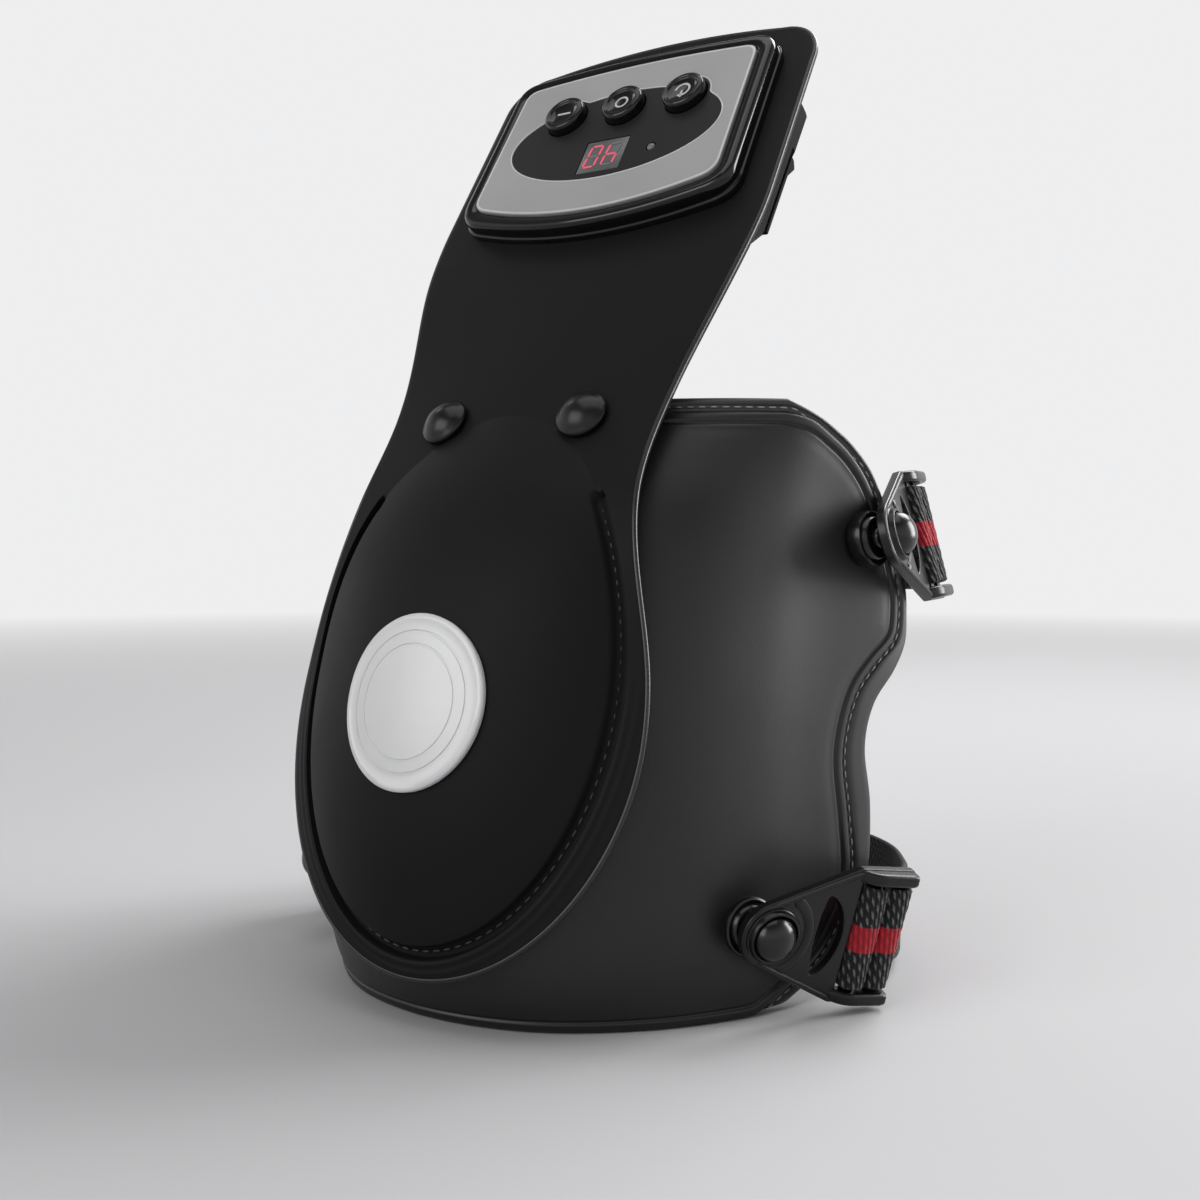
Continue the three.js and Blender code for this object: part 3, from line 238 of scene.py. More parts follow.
def smoothed(loop: Sequence[Pair], times: int) -> list[Pair]:
    """A closed loop with each point drawn towards its neighbours."""
    points = [Vector(p) for p in loop]
    for _ in range(times):
        near = zip(points[-1:] + points[:-1], points, points[1:] + points[:1])
        points = [(a + b * 2 + c) / 4 for a, b, c in near]
    return [(p.x, p.y) for p in points]


# Meshes


NECK_LEAN = radians(33.2)
NECK_COS, NECK_SIN = cos(NECK_LEAN), sin(NECK_LEAN)
NECK_DEPTH = -32.647
NECK_HEIGHT = 181.0


def neck_at(x: float, y: float, z: float) -> Vector:
    """The place of a point of the neck's frame: y back from the panel's face, z up from the hinge."""
    return Vector((x, NECK_DEPTH + y * NECK_COS + z * NECK_SIN, NECK_HEIGHT - y * NECK_SIN + z * NECK_COS))


@functools.cache
def plan_shift() -> float:
    """How far back the frame moved the plan, read from the circuit board's middle."""
    low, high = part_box("circuit_board")
    return (low.y + high.y) / (2 * MM) - neck_at(0, 3.4, 103.7).y


def place_m(point: Vector) -> Triple:
    """A drawn place as metres in the frame."""
    return (point.x * MM, (point.y + plan_shift()) * MM, point.z * MM)


def linked(name: str, data: bpy.types.ID) -> Piece:
    """A new object in the scene."""
    made = bpy.data.objects.new(name, data)
    bpy.context.scene.collection.objects.link(made)
    return made


def turn_out(mesh: bpy.types.Mesh, merge: bool = False) -> None:
    """Turns a mesh's faces outwards, a solid's triangles merged first."""
    work = bmesh.new()
    work.from_mesh(mesh)
    if merge:
        bmesh.ops.remove_doubles(work, verts=work.verts, dist=2e-6)
        bmesh.ops.dissolve_limit(work, angle_limit=radians(2), verts=work.verts, edges=work.edges)
    bmesh.ops.recalc_face_normals(work, faces=work.faces)
    work.to_mesh(mesh)
    work.free()


def finished(name: str, mesh: bpy.types.Mesh, finish: Finish, angle: float) -> Piece:
    """Links a mesh as an object, smooth shaded, with its finish."""
    mesh.materials.clear()
    mesh.materials.append(finish.material())
    mesh.shade_smooth()
    mesh.set_sharp_from_angle(angle=radians(angle))
    piece = linked(name, mesh)
    return piece


def evaluated(piece: Piece) -> Piece:
    """Turns a piece with modifiers into a plain mesh of the same name."""
    depsgraph = bpy.context.evaluated_depsgraph_get()
    mesh = bpy.data.meshes.new_from_object(piece.evaluated_get(depsgraph), depsgraph=depsgraph)
    name = piece.name
    bpy.data.objects.remove(piece)
    plain = linked(name, mesh)
    return plain


def evened(piece: Piece) -> Piece:
    """Lets large faces rule the shading of the edges beside them."""
    piece.modifiers.new("even", "WEIGHTED_NORMAL").keep_sharp = True
    return evaluated(piece)


def seat(piece: Piece, body: str, *nodes: str) -> None:
    """Rides a piece on a body, in place of its solids."""
    if nodes:
        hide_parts(*nodes)
    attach(piece, body)


def joins(piece: Piece, bodies: tuple[str, str], ends: Sequence[Triple], *nodes: str) -> None:
    """Hides the solids a piece stands in for, and bakes the piece's place into its mesh."""
    if nodes:
        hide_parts(*nodes)
    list(ends)
    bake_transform(piece)


@dataclass
class Draft:
    """Points and faces of one piece in the making, each point with its place on the flat cloth."""

    points: list[Vector] = field(default_factory=list)
    faces: list[tuple[int, ...]] = field(default_factory=list)
    marks: list[Pair] = field(default_factory=list)

    def add(self, point: Vector, mark: Pair = (0.0, 0.0)) -> int:
        """Adds a point and tells its number."""
        self.points.append(point)
        self.marks.append(mark)
        return len(self.points) - 1

    def ring(self, points: Points, marks: Sequence[Pair] | None = None) -> list[int]:
        """Adds several points in a row."""
        return [self.add(p, m) for p, m in zip(points, marks or [(0.0, 0.0)] * len(points))]

    def bridge(self, one: Sequence[int], two: Sequence[int], closed: bool = True) -> None:
        """Joins two rows of equal count with quads."""
        count = len(one)
        for i in range(count if closed else count - 1):
            k = (i + 1) % count
            self.faces.append((one[i], one[k], two[k], two[i]))

    def strips(self, rows: Sequence[Sequence[int]], closed: bool = True) -> None:
        """Joins each row to the next."""
        for one, two in zip(rows, rows[1:]):
            self.bridge(one, two, closed)

    def fan(self, ring: Sequence[int], pole: int) -> None:
        """Closes a ring onto one point."""
        for i, number in enumerate(ring):
            self.faces.append((number, ring[(i + 1) % len(ring)], pole))

    def loft(self, rings: Sequence[Points], marks: Sequence[Sequence[Pair]] | None = None,
             looped: bool = False) -> Draft:
        """Skins a row of rings.

        Args:
            rings: rings of equal count.
            marks: places on the flat cloth, if it is cloth.
            looped: whether the row closes on itself. Otherwise both its ends get a face.

        Returns:
            The draft itself.
        """
        rows = [self.ring(ring, marks[i] if marks else None) for i, ring in enumerate(rings)]
        self.strips(rows + rows[:1] if looped else rows)
        if not looped:
            self.faces += [tuple(reversed(rows[0])), tuple(rows[-1])]
        return self

    def moved(self, place: Callable[[Vector], Vector]) -> Draft:
        """A copy with every point put through a function."""
        return Draft([place(p) for p in self.points], list(self.faces), list(self.marks))

    def on(self, side: Side) -> Draft:
        """This right-hand piece, or its mirror image for the left side."""
        if side is Side.RIGHT:
            return self
        copy = self.moved(side.turn)
        copy.faces = [tuple(reversed(face)) for face in copy.faces]
        return copy

    def join(self, other: Draft) -> None:
        """Takes in another draft."""
        start = len(self.points)
        self.points.extend(other.points)
        self.marks.extend(other.marks)
        self.faces.extend(tuple(i + start for i in face) for face in other.faces)

    def turn_over(self, faces: Sequence[Sequence[int]], start: int) -> None:
        """Repeats faces the other way round, with numbers from a start on."""
        self.faces.extend(tuple(reversed([i + start for i in face])) for face in faces)

    def make(self, name: str, finish: Finish, angle: float = 40.0, weighted: bool = False) -> Piece:
        """Makes the mesh in the frame, its faces turned outwards.

        Args:
            name: the piece's name.
            finish: its finish.
            angle: edges sharper than this many degrees stay sharp.
            weighted: whether large faces rule the shading of the edges beside them.

        Returns:
            The object.
        """
        mesh = bpy.data.meshes.new(name)
        mesh.from_pydata([place_m(p) for p in self.points], [], self.faces)
        marks = mesh.attributes.new("cloth", "FLOAT_VECTOR", "POINT")
        marks.data.foreach_set("vector", [n for u, v in self.marks for n in (u, v, 0.0)])
        turn_out(mesh)
        piece = finished(name, mesh, finish, angle)
        return evened(piece) if weighted else piece


def lathe(profile: Sequence[Pair], sides: int = 48) -> Draft:
    """A turned body: profile pairs (radius, height), height along z, closed where it meets the axis."""
    draft = Draft()
    before: list[int] | None = None
    pole: int | None = None
    for radius, height in profile:
        if radius < 1e-6:
            pole = draft.add(Vector((0, 0, height)))
            if before is not None:
                draft.fan(before, pole)
            before = None
            continue
        ring = draft.ring([Vector((x, y, height)) for x, y in oval((0, 0), radius, sides)])
        if before is not None:
            draft.bridge(before, ring)
        elif pole is not None:
            draft.fan(ring, pole)
        before = ring
    return draft


def stood(direction: Vector, foot: Vector) -> Callable[[Vector], Vector]:
    """The move that turns z to a direction and takes the origin to a foot."""
    turn = Matrix.Translation(foot) @ direction.to_track_quat("Z", "Y").to_matrix().to_4x4()
    return lambda p: turn @ p


def swept(line: Points, radius: float, sides: int, flat: float = 1.0, looped: bool = False,
          pole: Triple = (0, 0, 1)) -> Draft:
    """A bead along a line.

    Args:
        line: the points it follows.
        radius: its radius.
        sides: faces round it.
        flat: its height as a share of its width.
        looped: whether the line closes on itself. Otherwise both ends run thin.
        pole: the direction that counts as up.

    Returns:
        The bead.
    """
    rings, last = [], len(line) - 1
    for i, p in enumerate(line):
        behind, ahead = (i - 1, (i + 1) % (last + 1)) if looped else (max(i - 1, 0), min(i + 1, last))
        along = (line[ahead] - line[behind]).normalized()
        side = along.cross(Vector(pole)).normalized()
        over = side.cross(along).normalized()
        grow = radius * (0.35 if not looped and i in (0, last) else 1.0)
        rings.append([p + (side * x + over * y * flat) * grow for x, y in oval((0, 0), 1.0, sides)])
    return Draft().loft(rings, looped=looped)


def wound(loop: Sequence[Pair], is_hole: bool) -> list[Vector]:
    """A loop of points turned the right way round: outlines to the left, holes to the right."""
    points = [Vector(p) for p in loop]
    area = sum(a.x * b.y - b.x * a.y for a, b in zip(points, points[1:] + points[:1]))
    return points[::-1] if (area < 0) != is_hole else points


def moved_in(loop: Points, inset: float) -> list[Vector]:
    """A loop moved towards the material on its left."""
    result = []
    for i, p in enumerate(loop):
        one, two = (p - loop[i - 1]).normalized(), (loop[(i + 1) % len(loop)] - p).normalized()
        left = Vector((-one.y, one.x))
        mean = Vector((-one.y - two.y, one.x + two.x))
        mean = (mean if mean.length >= 1e-6 else left).normalized()
        result.append(p + mean * (inset / max(mean.dot(left), 0.45)))
    return result


def slab(outline: Sequence[Pair], holes: Sequence[Sequence[Pair]], low: float, high: float, bevel: float,
         steps: int = 3, hole_bevel: float | None = None) -> Draft:
    """A flat slab with rounded edges, its outline in x and y.

    Args:
        outline: its outline.
        holes: outlines of its openings.
        low: the lower face's height.
        high: the upper face's height.
        bevel: radius of its edges.
        steps: faces across each rounded edge.
        hole_bevel: radius of the openings' edges, if another.

    Returns:
        The slab.
    """
    draft = Draft()
    ends: list[list[list[int]]] = [[], []]
    quarter = [pi / 2 * i / steps for i in range(steps + 1)]
    for k, loop in enumerate([wound(outline, False)] + [wound(hole, True) for hole in holes]):
        radius = bevel if k == 0 or hole_bevel is None else hole_bevel
        rise = [(radius * (1 - sin(a)), radius * (1 - cos(a))) for a in quarter]
        levels = [(inset, low + up) for inset, up in rise]
        levels += [(inset, high - up) for inset, up in reversed(rise)]
        rows = [draft.ring([p.to_3d() + Vector((0, 0, height)) for p in moved_in(loop, inset)])
                for inset, height in levels]
        draft.strips(rows)
        ends[0].append(rows[0])
        ends[1].append(rows[-1])
    for rings in ends:
        numbers = [i for ring in rings for i in ring]
        for face in tessellate_polygon([[draft.points[i] for i in ring] for ring in rings]):
            draft.faces.append(tuple(numbers[i] for i in face))
    return draft


# Finishes


class Nodes:
    """A node tree while it is being built."""

    def __init__(self, tree: bpy.types.NodeTree) -> None:
        """Takes the tree."""
        self.tree = tree

    def give(self, goal: Socket, value: object) -> None:
        """Joins a socket to another one, or sets it to a constant."""
        if isinstance(value, Socket):
            self.tree.links.new(value, goal)
        else:
            goal.default_value = value

    def node(self, kind: str, inputs: dict[str | int, object] | None = None,
             **settings: object) -> bpy.types.Node:
        """Adds a node.

        Args:
            kind: its type.
            inputs: sockets or constants for its inputs.
            **settings: its own settings.

        Returns:
            The node.
        """
        node = self.tree.nodes.new(kind)
        for key, value in settings.items():
            setattr(node, key, value)
        for key, value in (inputs or {}).items():
            self.give(node.inputs[key], value)
        return node

    def noise(self, place: Socket, scale: float, detail: float) -> Socket:
        """Smooth noise from 0 to 1."""
        ends = {"Vector": place, "Scale": scale, "Detail": detail}
        return self.node("ShaderNodeTexNoise", ends).outputs["Fac"]

    def ramp(self, value: Socket, low: float, high: float, to_low: float, to_high: float) -> Socket:
        """Reads a value between two limits as a value between two others."""
        limits = {"Value": value, "From Min": low, "From Max": high, "To Min": to_low, "To Max": to_high}
        return self.node("ShaderNodeMapRange", limits).outputs["Result"]

    def mix(self, share: Socket, one: Triple | Socket, two: Triple | Socket) -> Socket:
        """Mixes two colours by a share."""
        a, b = ((*end, 1) if isinstance(end, tuple) else end for end in (one, two))
        ends = {"Factor": share, "A": a, "B": b}
        return self.node("ShaderNodeMix", ends, data_type="RGBA").outputs["Result"]

    def math(self, operation: str, one: Socket | float, two: Socket | float = 0.0) -> Socket:
        """Reckons with two sockets or numbers."""
        return self.node("ShaderNodeMath", {0: one, 1: two}, operation=operation).outputs["Value"]

    def distance(self, place: Socket, goal: Triple) -> Socket:
        """How far a place is from a goal."""
        return self.node("ShaderNodeVectorMath", {0: place, 1: goal}, operation="DISTANCE").outputs["Value"]

    def direct_rays(self) -> Socket:
        """1 for camera, glossy and transmission rays, so that metal and glass show what the camera sees."""
        rays = self.node("ShaderNodeLightPath").outputs
        seen = self.math("MAXIMUM", rays["Is Camera Ray"], rays["Is Glossy Ray"])
        return self.math("MAXIMUM", seen, rays["Is Transmission Ray"])


class Shader(Nodes):
    """A material while it is being built, on the piece's own coordinates."""

    def __init__(self, name: str) -> None:
        """Starts a material with a bare surface shader."""
        self.material = bpy.data.materials.new(name)
        self.material.use_nodes = True
        super().__init__(self.material.node_tree)
        self.surface = self.tree.nodes["Principled BSDF"]
        self.place = self.node("ShaderNodeTexCoord").outputs["Object"]

    def set(self, **values: object) -> None:
        """Sets inputs of the surface shader, underscores standing for spaces."""
        for key, value in values.items():
            self.give(self.surface.inputs[key.replace("_", " ")], value)

    def bump(self, height: Socket, depth_mm: float) -> Socket:
        """A bump from a height of 0 to 1, which is a depth in millimetres."""
        ends = {"Distance": depth_mm * MM, "Strength": 1.0, "Height": height}
        return self.node("ShaderNodeBump", ends).outputs["Normal"]


@dataclass(frozen=True)
class Finish:
    """A moulded or painted surface with fine grain.

    Attributes:
        name: the finish's name.
        slot: a material slot's name, not used.
        colour: its base colour.
        rough: its roughness.
        grain: the grain's cells per metre.
        depth: the grain's depth in millimetres.
        specular: the specular level.
        metal: how metallic it is.
        wander: how much the roughness wanders over the surface.
        glow: strength of its own light.
    """

    name: str
    slot: str
    colour: Triple
    rough: float
    grain: float
    depth: float
    specular: float = 0.5
    metal: float = 0.0
    wander: float = 0.05
    glow: float = 0.0

    @functools.cache
    def material(self) -> bpy.types.Material:
        """Builds the material."""
        shader = Shader(self.name)
        clouds = shader.noise(shader.place, 28.0, 4.0)
        darker, lighter = (tuple(min(c * change, 1.0) for c in self.colour) for change in (0.88, 1.1))
        shader.set(
            Metallic=self.metal,
            Specular_IOR_Level=self.specular,
            Base_Color=shader.mix(clouds, darker, lighter),
            Roughness=shader.ramp(clouds, 0.3, 0.7, self.rough - self.wander, self.rough + self.wander),
            Normal=shader.bump(shader.noise(shader.place, self.grain, 2.0), self.depth),
        )
        if self.glow:
            shader.set(Emission_Color=(*self.colour, 1), Emission_Strength=self.glow)
        return shader.material


@dataclass(frozen=True)
class Woven:
    """Ribbed elastic webbing with a coloured stripe, drawn on the flat cloth, with painted highlights on the
    rib crests and painted shade in the stripe's rib valleys.

    Attributes:
        name: the finish's name.
        slot: a material slot's name, not used.
        yarn: the yarn's colour.
        crest_highlight: colour of the painted highlights on the crests of the ribs.
        stripe: colour of the stripe.
        half_stripe: half of the stripe's width in millimetres.
        pitch: the ribs' pitch in millimetres.
        slant: how far a rib moves along the cloth for each millimetre across it.
        dash: length of the painted highlight dashes on the ribs, with their gaps.
    """

    name: str
    slot: str
    yarn: Triple
    crest_highlight: Triple
    stripe: Triple
    half_stripe: float = 3.9
    pitch: float = 1.25
    slant: float = 0.18
    dash: float = 3.1

    @functools.cache
    def material(self) -> bpy.types.Material:
        """Builds the material."""
        shader = Shader(self.name)
        work = shader.math
        cloth = shader.node("ShaderNodeAttribute", attribute_name="cloth").outputs["Vector"]
        flat = shader.node("ShaderNodeSeparateXYZ", {"Vector": cloth}).outputs
        u, v = flat["X"], flat["Y"]
        along = work("ADD", u, work("MULTIPLY", v, self.slant))
        rib = work("ABSOLUTE", work("SINE", work("MULTIPLY", along, pi / self.pitch)))
        turns = work("ADD", work("DIVIDE", v, self.dash), work("MULTIPLY", u, 0.5 / self.pitch))
        knot = work("SINE", work("MULTIPLY", turns, tau))
        high, dashed = shader.ramp(rib, 0.6, 0.95, 0.0, 1.0), shader.ramp(knot, -0.3, 0.6, 0.0, 1.0)
        # painted highlight: the rib crests, in dashes, take the lighter highlight colour
        crest = work("MULTIPLY", high, dashed)
        drawn = shader.node("ShaderNodeMapping", {"Vector": cloth, "Scale": (2.4, 0.9, 1.0)})
        strands = shader.noise(drawn.outputs["Vector"], 1.0, 3.0)
        lit = work("MULTIPLY", crest, shader.ramp(strands, 0.35, 0.65, 0.3, 1.0))
        # painted shade: the stripe darkens to 45 % of its colour in the rib valleys
        valley_shaded_stripe = tuple(c * 0.45 for c in self.stripe)
        red = shader.mix(shader.ramp(work("ADD", rib, lit), 0.3, 1.7, 0.0, 1.0), valley_shaded_stripe, self.stripe)
        fray = work("MULTIPLY", work("SUBTRACT", strands, 0.5), 0.7)
        ragged = work("ADD", work("ABSOLUTE", v), fray)
        inside = shader.ramp(ragged, self.half_stripe - 0.15, self.half_stripe + 0.15, 1.0, 0.0)
        shader.set(
            Roughness=0.82, Sheen_Weight=0.25, Sheen_Roughness=0.4, Specular_IOR_Level=0.3,
            Base_Color=shader.mix(inside, shader.mix(lit, self.yarn, self.crest_highlight), red),
            Normal=shader.bump(work("ADD", rib, strands), 0.12),
        )
        return shader.material


def grey(level: float, blue: float | None = None) -> Triple:
    """A grey, its blue share by itself if another."""
    return (level, level, level if blue is None else blue)


SOFT_PANEL = Finish("soft_panel_rubber", "soft_panel", grey(0.0085, 0.0087), 0.5, 3200, 0.014, 0.09)
WRAP_SKIN = Finish("satin_wrap_skin", "wrap_skin", grey(0.008, 0.0082), 0.42, 2400, 0.025, 0.44)
EDGE_BAND = Finish("moulded_edge_band", "edge_binding", grey(0.03, 0.031), 0.4, 2400, 0.02)
EMBLEM = Finish("satin_emblem_metal", "emblem_metal", grey(0.68, 0.685), 0.42, 5200, 0.004, metal=0.15)
RIVET = Finish("gloss_rivet", "gloss_black", grey(0.006, 0.0065), 0.27, 1500, 0.003, 0.3, wander=0.03)
PANEL_EDGE = Finish("panel_edge", "soft_panel", grey(0.01), 0.32, 3200, 0.01)
PANEL_THREAD = Finish("panel_thread", "soft_panel", grey(0.03, 0.031), 0.5, 4200, 0.06)
# painted highlight: the band thread's light grey partly stands for the sheen of a darker glossy thread
BAND_THREAD = Finish("band_thread", "edge_binding", grey(0.28, 0.29), 0.5, 4200, 0.06)
LINER = Finish("liner_knit", "liner_cloth", grey(0.03, 0.034), 0.9, 1500, 0.15)
STUD_GLOSS = Finish("gloss_stud", "gloss_black", grey(0.005, 0.0055), 0.22, 900, 0.002, 0.45, wander=0.02)
GLOSS = Finish("gloss_black", "gloss_black", grey(0.005, 0.0055), 0.1, 900, 0.002, 0.38, wander=0.02)
BUCKLE_BLACK = Finish("buckle_black", "gloss_black", grey(0.006, 0.0065), 0.27, 2600, 0.01, 0.34)
BUTTON = Finish("button_gloss", "button_black", grey(0.005, 0.0055), 0.1, 900, 0.002, 0.38, wander=0.02)
PRINT = Finish("white_print", "button_black", grey(0.55, 0.56), 0.45, 4000, 0.004)
PLATE = Finish("silver_plate", "plate_silver", grey(0.37, 0.375), 0.45, 4800, 0.004, metal=0.1)
PLATE_LINE = Finish("bright_plate_line", "plate_silver", grey(0.62, 0.63), 0.35, 4800, 0.004, metal=0.2)
INSET = Finish("inset_smoke", "inset_grey", grey(0.02, 0.021), 0.4, 1600, 0.003, 0.12)
DISPLAY_FACE = Finish("display_face", "display_grey", (0.11, 0.115, 0.115), 0.3, 1600, 0.003)
DIGITS = Finish("display_red", "display_grey", (0.72, 0.1, 0.16), 0.4, 1600, 0.003, glow=0.3)
DIGITS_OFF = Finish("display_dark_bars", "display_grey", (0.17, 0.175, 0.175), 0.35, 1600, 0.003)
LAMP = Finish("lamp_resin", "lamp_clear", grey(0.16, 0.165), 0.25, 1600, 0.003)
HOUSING = Finish("housing_plastic", "housing_black", grey(0.009, 0.0095), 0.58, 2000, 0.03, 0.035)
SLOT_SHADE = Finish("slot_shade", "housing_black", grey(0.0015), 0.8, 2000, 0.02, 0.02)
SCREW = Finish("screw_steel", "screw_steel", grey(0.42, 0.43), 0.3, 1800, 0.01, metal=1.0)
MOTOR = Finish("motor_steel", "motor_steel", grey(0.5), 0.28, 1800, 0.01, metal=1.0)
BRASS = Finish("weight_metal", "weight_brass", (0.45, 0.38, 0.24), 0.35, 1800, 0.01, metal=1.0)
FILM = Finish("heating_film", "heating_film", (0.05, 0.052, 0.058), 0.5, 1200, 0.05)
SWITCH = Finish("switch_plastic", "switch_black", grey(0.012), 0.45, 2400, 0.02)
BOARD = Finish("board_lacquer", "board_green", (0.012, 0.09, 0.035), 0.35, 700, 0.03)
BATTERY = Finish("battery_sleeve", "battery_wrap", (0.02, 0.09, 0.3), 0.35, 600, 0.05)
CRADLE = Finish("cradle_nylon", "cradle_grey", grey(0.045, 0.047), 0.55, 2400, 0.03)
CABLE = Finish("cable_sleeve", "cable_black", grey(0.012), 0.5, 2400, 0.02)
WEBBING = Woven("webbing_weave", "webbing", grey(0.0055, 0.006), (0.2, 0.205, 0.21), (0.55, 0.02, 0.035))


@dataclass
class StitchRow:
    """A row of thread stitches along a line, made by a node tree: pitch, stitch and thread radius."""

    pitch: float
    length: float
    radius: float

    def _tree(self, finish: Finish) -> bpy.types.NodeTree:
        """Builds the node tree: line, even points, one stitch on each, all made real."""
        tree = bpy.data.node_groups.new("stitch_row", "GeometryNodeTree")
        for way in ("INPUT", "OUTPUT"):
            tree.interface.new_socket("Geometry", in_out=way, socket_type="NodeSocketGeometry")
        add = Nodes(tree).node
        line = add("GeometryNodeMeshToCurve", {"Mesh": add("NodeGroupInput").outputs["Geometry"]})
        spacing = {"Curve": line.outputs["Curve"], "Length": self.pitch * MM}
        even = add("GeometryNodeResampleCurve", spacing, mode="LENGTH")
        along = {"Vector": add("GeometryNodeInputTangent").outputs["Tangent"]}
        stitch = add("GeometryNodeMeshUVSphere", {"Segments": 8, "Rings": 6, "Radius": 1.0})
        placed = add("GeometryNodeInstanceOnPoints", {
            "Points": even.outputs["Curve"],
            "Instance": stitch.outputs["Mesh"],
            "Rotation": add("FunctionNodeAlignRotationToVector", along, axis="Z").outputs["Rotation"],
            "Scale": (self.radius * MM, self.radius * MM, self.length * MM / 2),
        })
        real = add("GeometryNodeRealizeInstances", {"Geometry": placed.outputs["Instances"]})
        thread = {"Geometry": real.outputs["Geometry"], "Material": finish.material()}
        add("NodeGroupOutput", {"Geometry": add("GeometryNodeSetMaterial", thread).outputs["Geometry"]})
        return tree

    def make(self, name: str, line: Points, finish: Finish) -> Piece:
        """Sews a row along points, as one plain mesh."""
        mesh = bpy.data.meshes.new(name)
        mesh.from_pydata([place_m(p) for p in line], [(i, i + 1) for i in range(len(line) - 1)], [])
        piece = linked(name, mesh)
        piece.modifiers.new("stitches", "NODES").node_group = self._tree(finish)
        plain = evaluated(piece)
        plain.data.shade_smooth()
        return plain


# Forms that several pieces share


@dataclass
class PanelForm:
    """The front panel's face, one moulded sheet from its tip up over the neck."""

    thickness: float = 3.0
    tip: float = 13.5
    lobe_height: float = 83.0
    lobe_half: float = 63.4
    waist_height: float = 163.0
    waist_half: float = 50.0
    flange_height: float = 240.0
    flange_half: float = 62.6
    neck_start: Pair = (169.0, -40.5)
    dome_height: float = 9.6
    dome_centre: float = 92.0
    groove_half: float = 54.7
    groove_down: float = 70.5
    groove_up: float = 79.5
    groove_end: float = radians(53)
    line: list[Pair] = field(default_factory=lambda: [
        (0, -88.2), (30, -87.1), (60, -83), (90, -76.3), (120, -67.3), (146, -55.8),
    ])

    def __post_init__(self) -> None:
        """Draws the centre line."""
        height, depth = self.neck_start
        upper = [(z, depth + (z - height) * tan(NECK_LEAN)) for z in (self.waist_height + 30, 260)]
        self.centre_depth = SmoothLine([*self.line, self.neck_start, *upper])

    def bend(self, z: float) -> float:
        """How much the sheet bends from side to side at a height."""
        start = self.neck_start[0]
        lobe, waist, flat = 1 / 150, 1 / 300, 0.9 / 300
        return lobe + (waist - lobe) * smooth_step(95, start, z) - flat * smooth_step(start, 223.7, z)

    def half_width(self, z: float) -> float:
        """Half of the sheet's width at a height."""
        if z < self.lobe_height:
            drop = (self.lobe_height - z) / (self.lobe_height - self.tip)
            return self.lobe_half * sqrt(max(1 - drop * drop, 0))
        if z < self.waist_height:
            t = (z - self.lobe_height) / (self.waist_height - self.lobe_height)
            return self.waist_half + (self.lobe_half - self.waist_half) * (1 + cos(pi * t)) / 2
        t = min((z - self.waist_height) / (self.flange_height - self.waist_height), 1)
        taper = max(z - self.flange_height, 0) * 0.02
        widening = (self.flange_half - self.waist_half) * (1 - cos(pi * t)) / 2
        return self.waist_half + widening - taper

    def inner_half_width(self, z: float, inset: float) -> float:
        """Half of the width of the same outline moved in by an inset."""
        low = self.tip + inset
        if z <= low:
            return 0.0
        if z < self.lobe_height:
            drop = (self.lobe_height - z) / (self.lobe_height - low)
            return (self.lobe_half - inset) * sqrt(max(1 - drop * drop, 0))
        slope = (self.half_width(z + 0.2) - self.half_width(z - 0.2)) / 0.4
        return self.half_width(z) - inset * hypot(1, slope)

    def base(self, x: float, z: float) -> float:
        """Depth of the sheet's face without dome and groove."""
        return self.centre_depth(z) + x * x * self.bend(z) / 2

    def slope(self, z: float) -> float:
        """The face's lean at its centre line, in radians."""
        return atan(self.centre_depth(z + 0.5) - self.centre_depth(z - 0.5))

    def groove_reach(self, angle: float) -> float:
        """How far the groove's middle is from the dome's middle, in the front view."""
        reach = self.groove_up if sin(angle) > 0 else self.groove_down
        return 1 / hypot(cos(angle) / self.groove_half, sin(angle) / reach)

    def spot(self, angle: float, reach: float) -> Pair:
        """The place across and up at a direction and distance from the dome's middle."""
        return reach * cos(angle), self.dome_centre + reach * sin(angle)

    def dome_rise(self, x: float, z: float) -> float:
        """How far the dome stands out of the sheet."""
        dz = z - self.dome_centre
        share = hypot(x, dz) / self.groove_reach(atan2(dz, x))
        return self.dome_height * max(1 - share * share, 0) ** 0.8

    def edge_reach(self, angle: float, inset: float, top: float) -> float:
        """How far the outline, moved in by an inset, is from the dome's middle."""
        near, far = 20.0, 160.0
        for _ in range(40):
            middle = (near + far) / 2
            x, z = self.spot(angle, middle)
            inside = z <= top and abs(x) < self.inner_half_width(z, inset)
            near, far = (middle, far) if inside else (near, middle)
        return near

    def normal(self, x: float, z: float) -> Vector:
        """Outward direction of the sheet, without dome and groove."""
        across = self.base(x + 0.5, z) - self.base(x - 0.5, z)
        up = self.base(x, z + 0.5) - self.base(x, z - 0.5)
        return Vector((across, -1, up)).normalized()

    def on_face(self, x: float, z: float, lift: float = 0.0) -> Vector:
        """A point of the face with the dome, lifted straight off it."""
        return Vector((x, self.base(x, z) - self.dome_rise(x, z), z)) + self.normal(x, z) * lift

    def groove_distance(self, x: float, z: float) -> float:
        """Distance in the front view from the middle of the groove, round its two ends."""
        dx, dz = abs(x), z - self.dome_centre
        angle = atan2(dz, dx)
        if angle <= self.groove_end:
            return abs(hypot(dx, dz) - self.groove_reach(angle))
        end_x, end_z = self.spot(self.groove_end, self.groove_reach(self.groove_end))
        return hypot(dx - end_x, z - end_z)


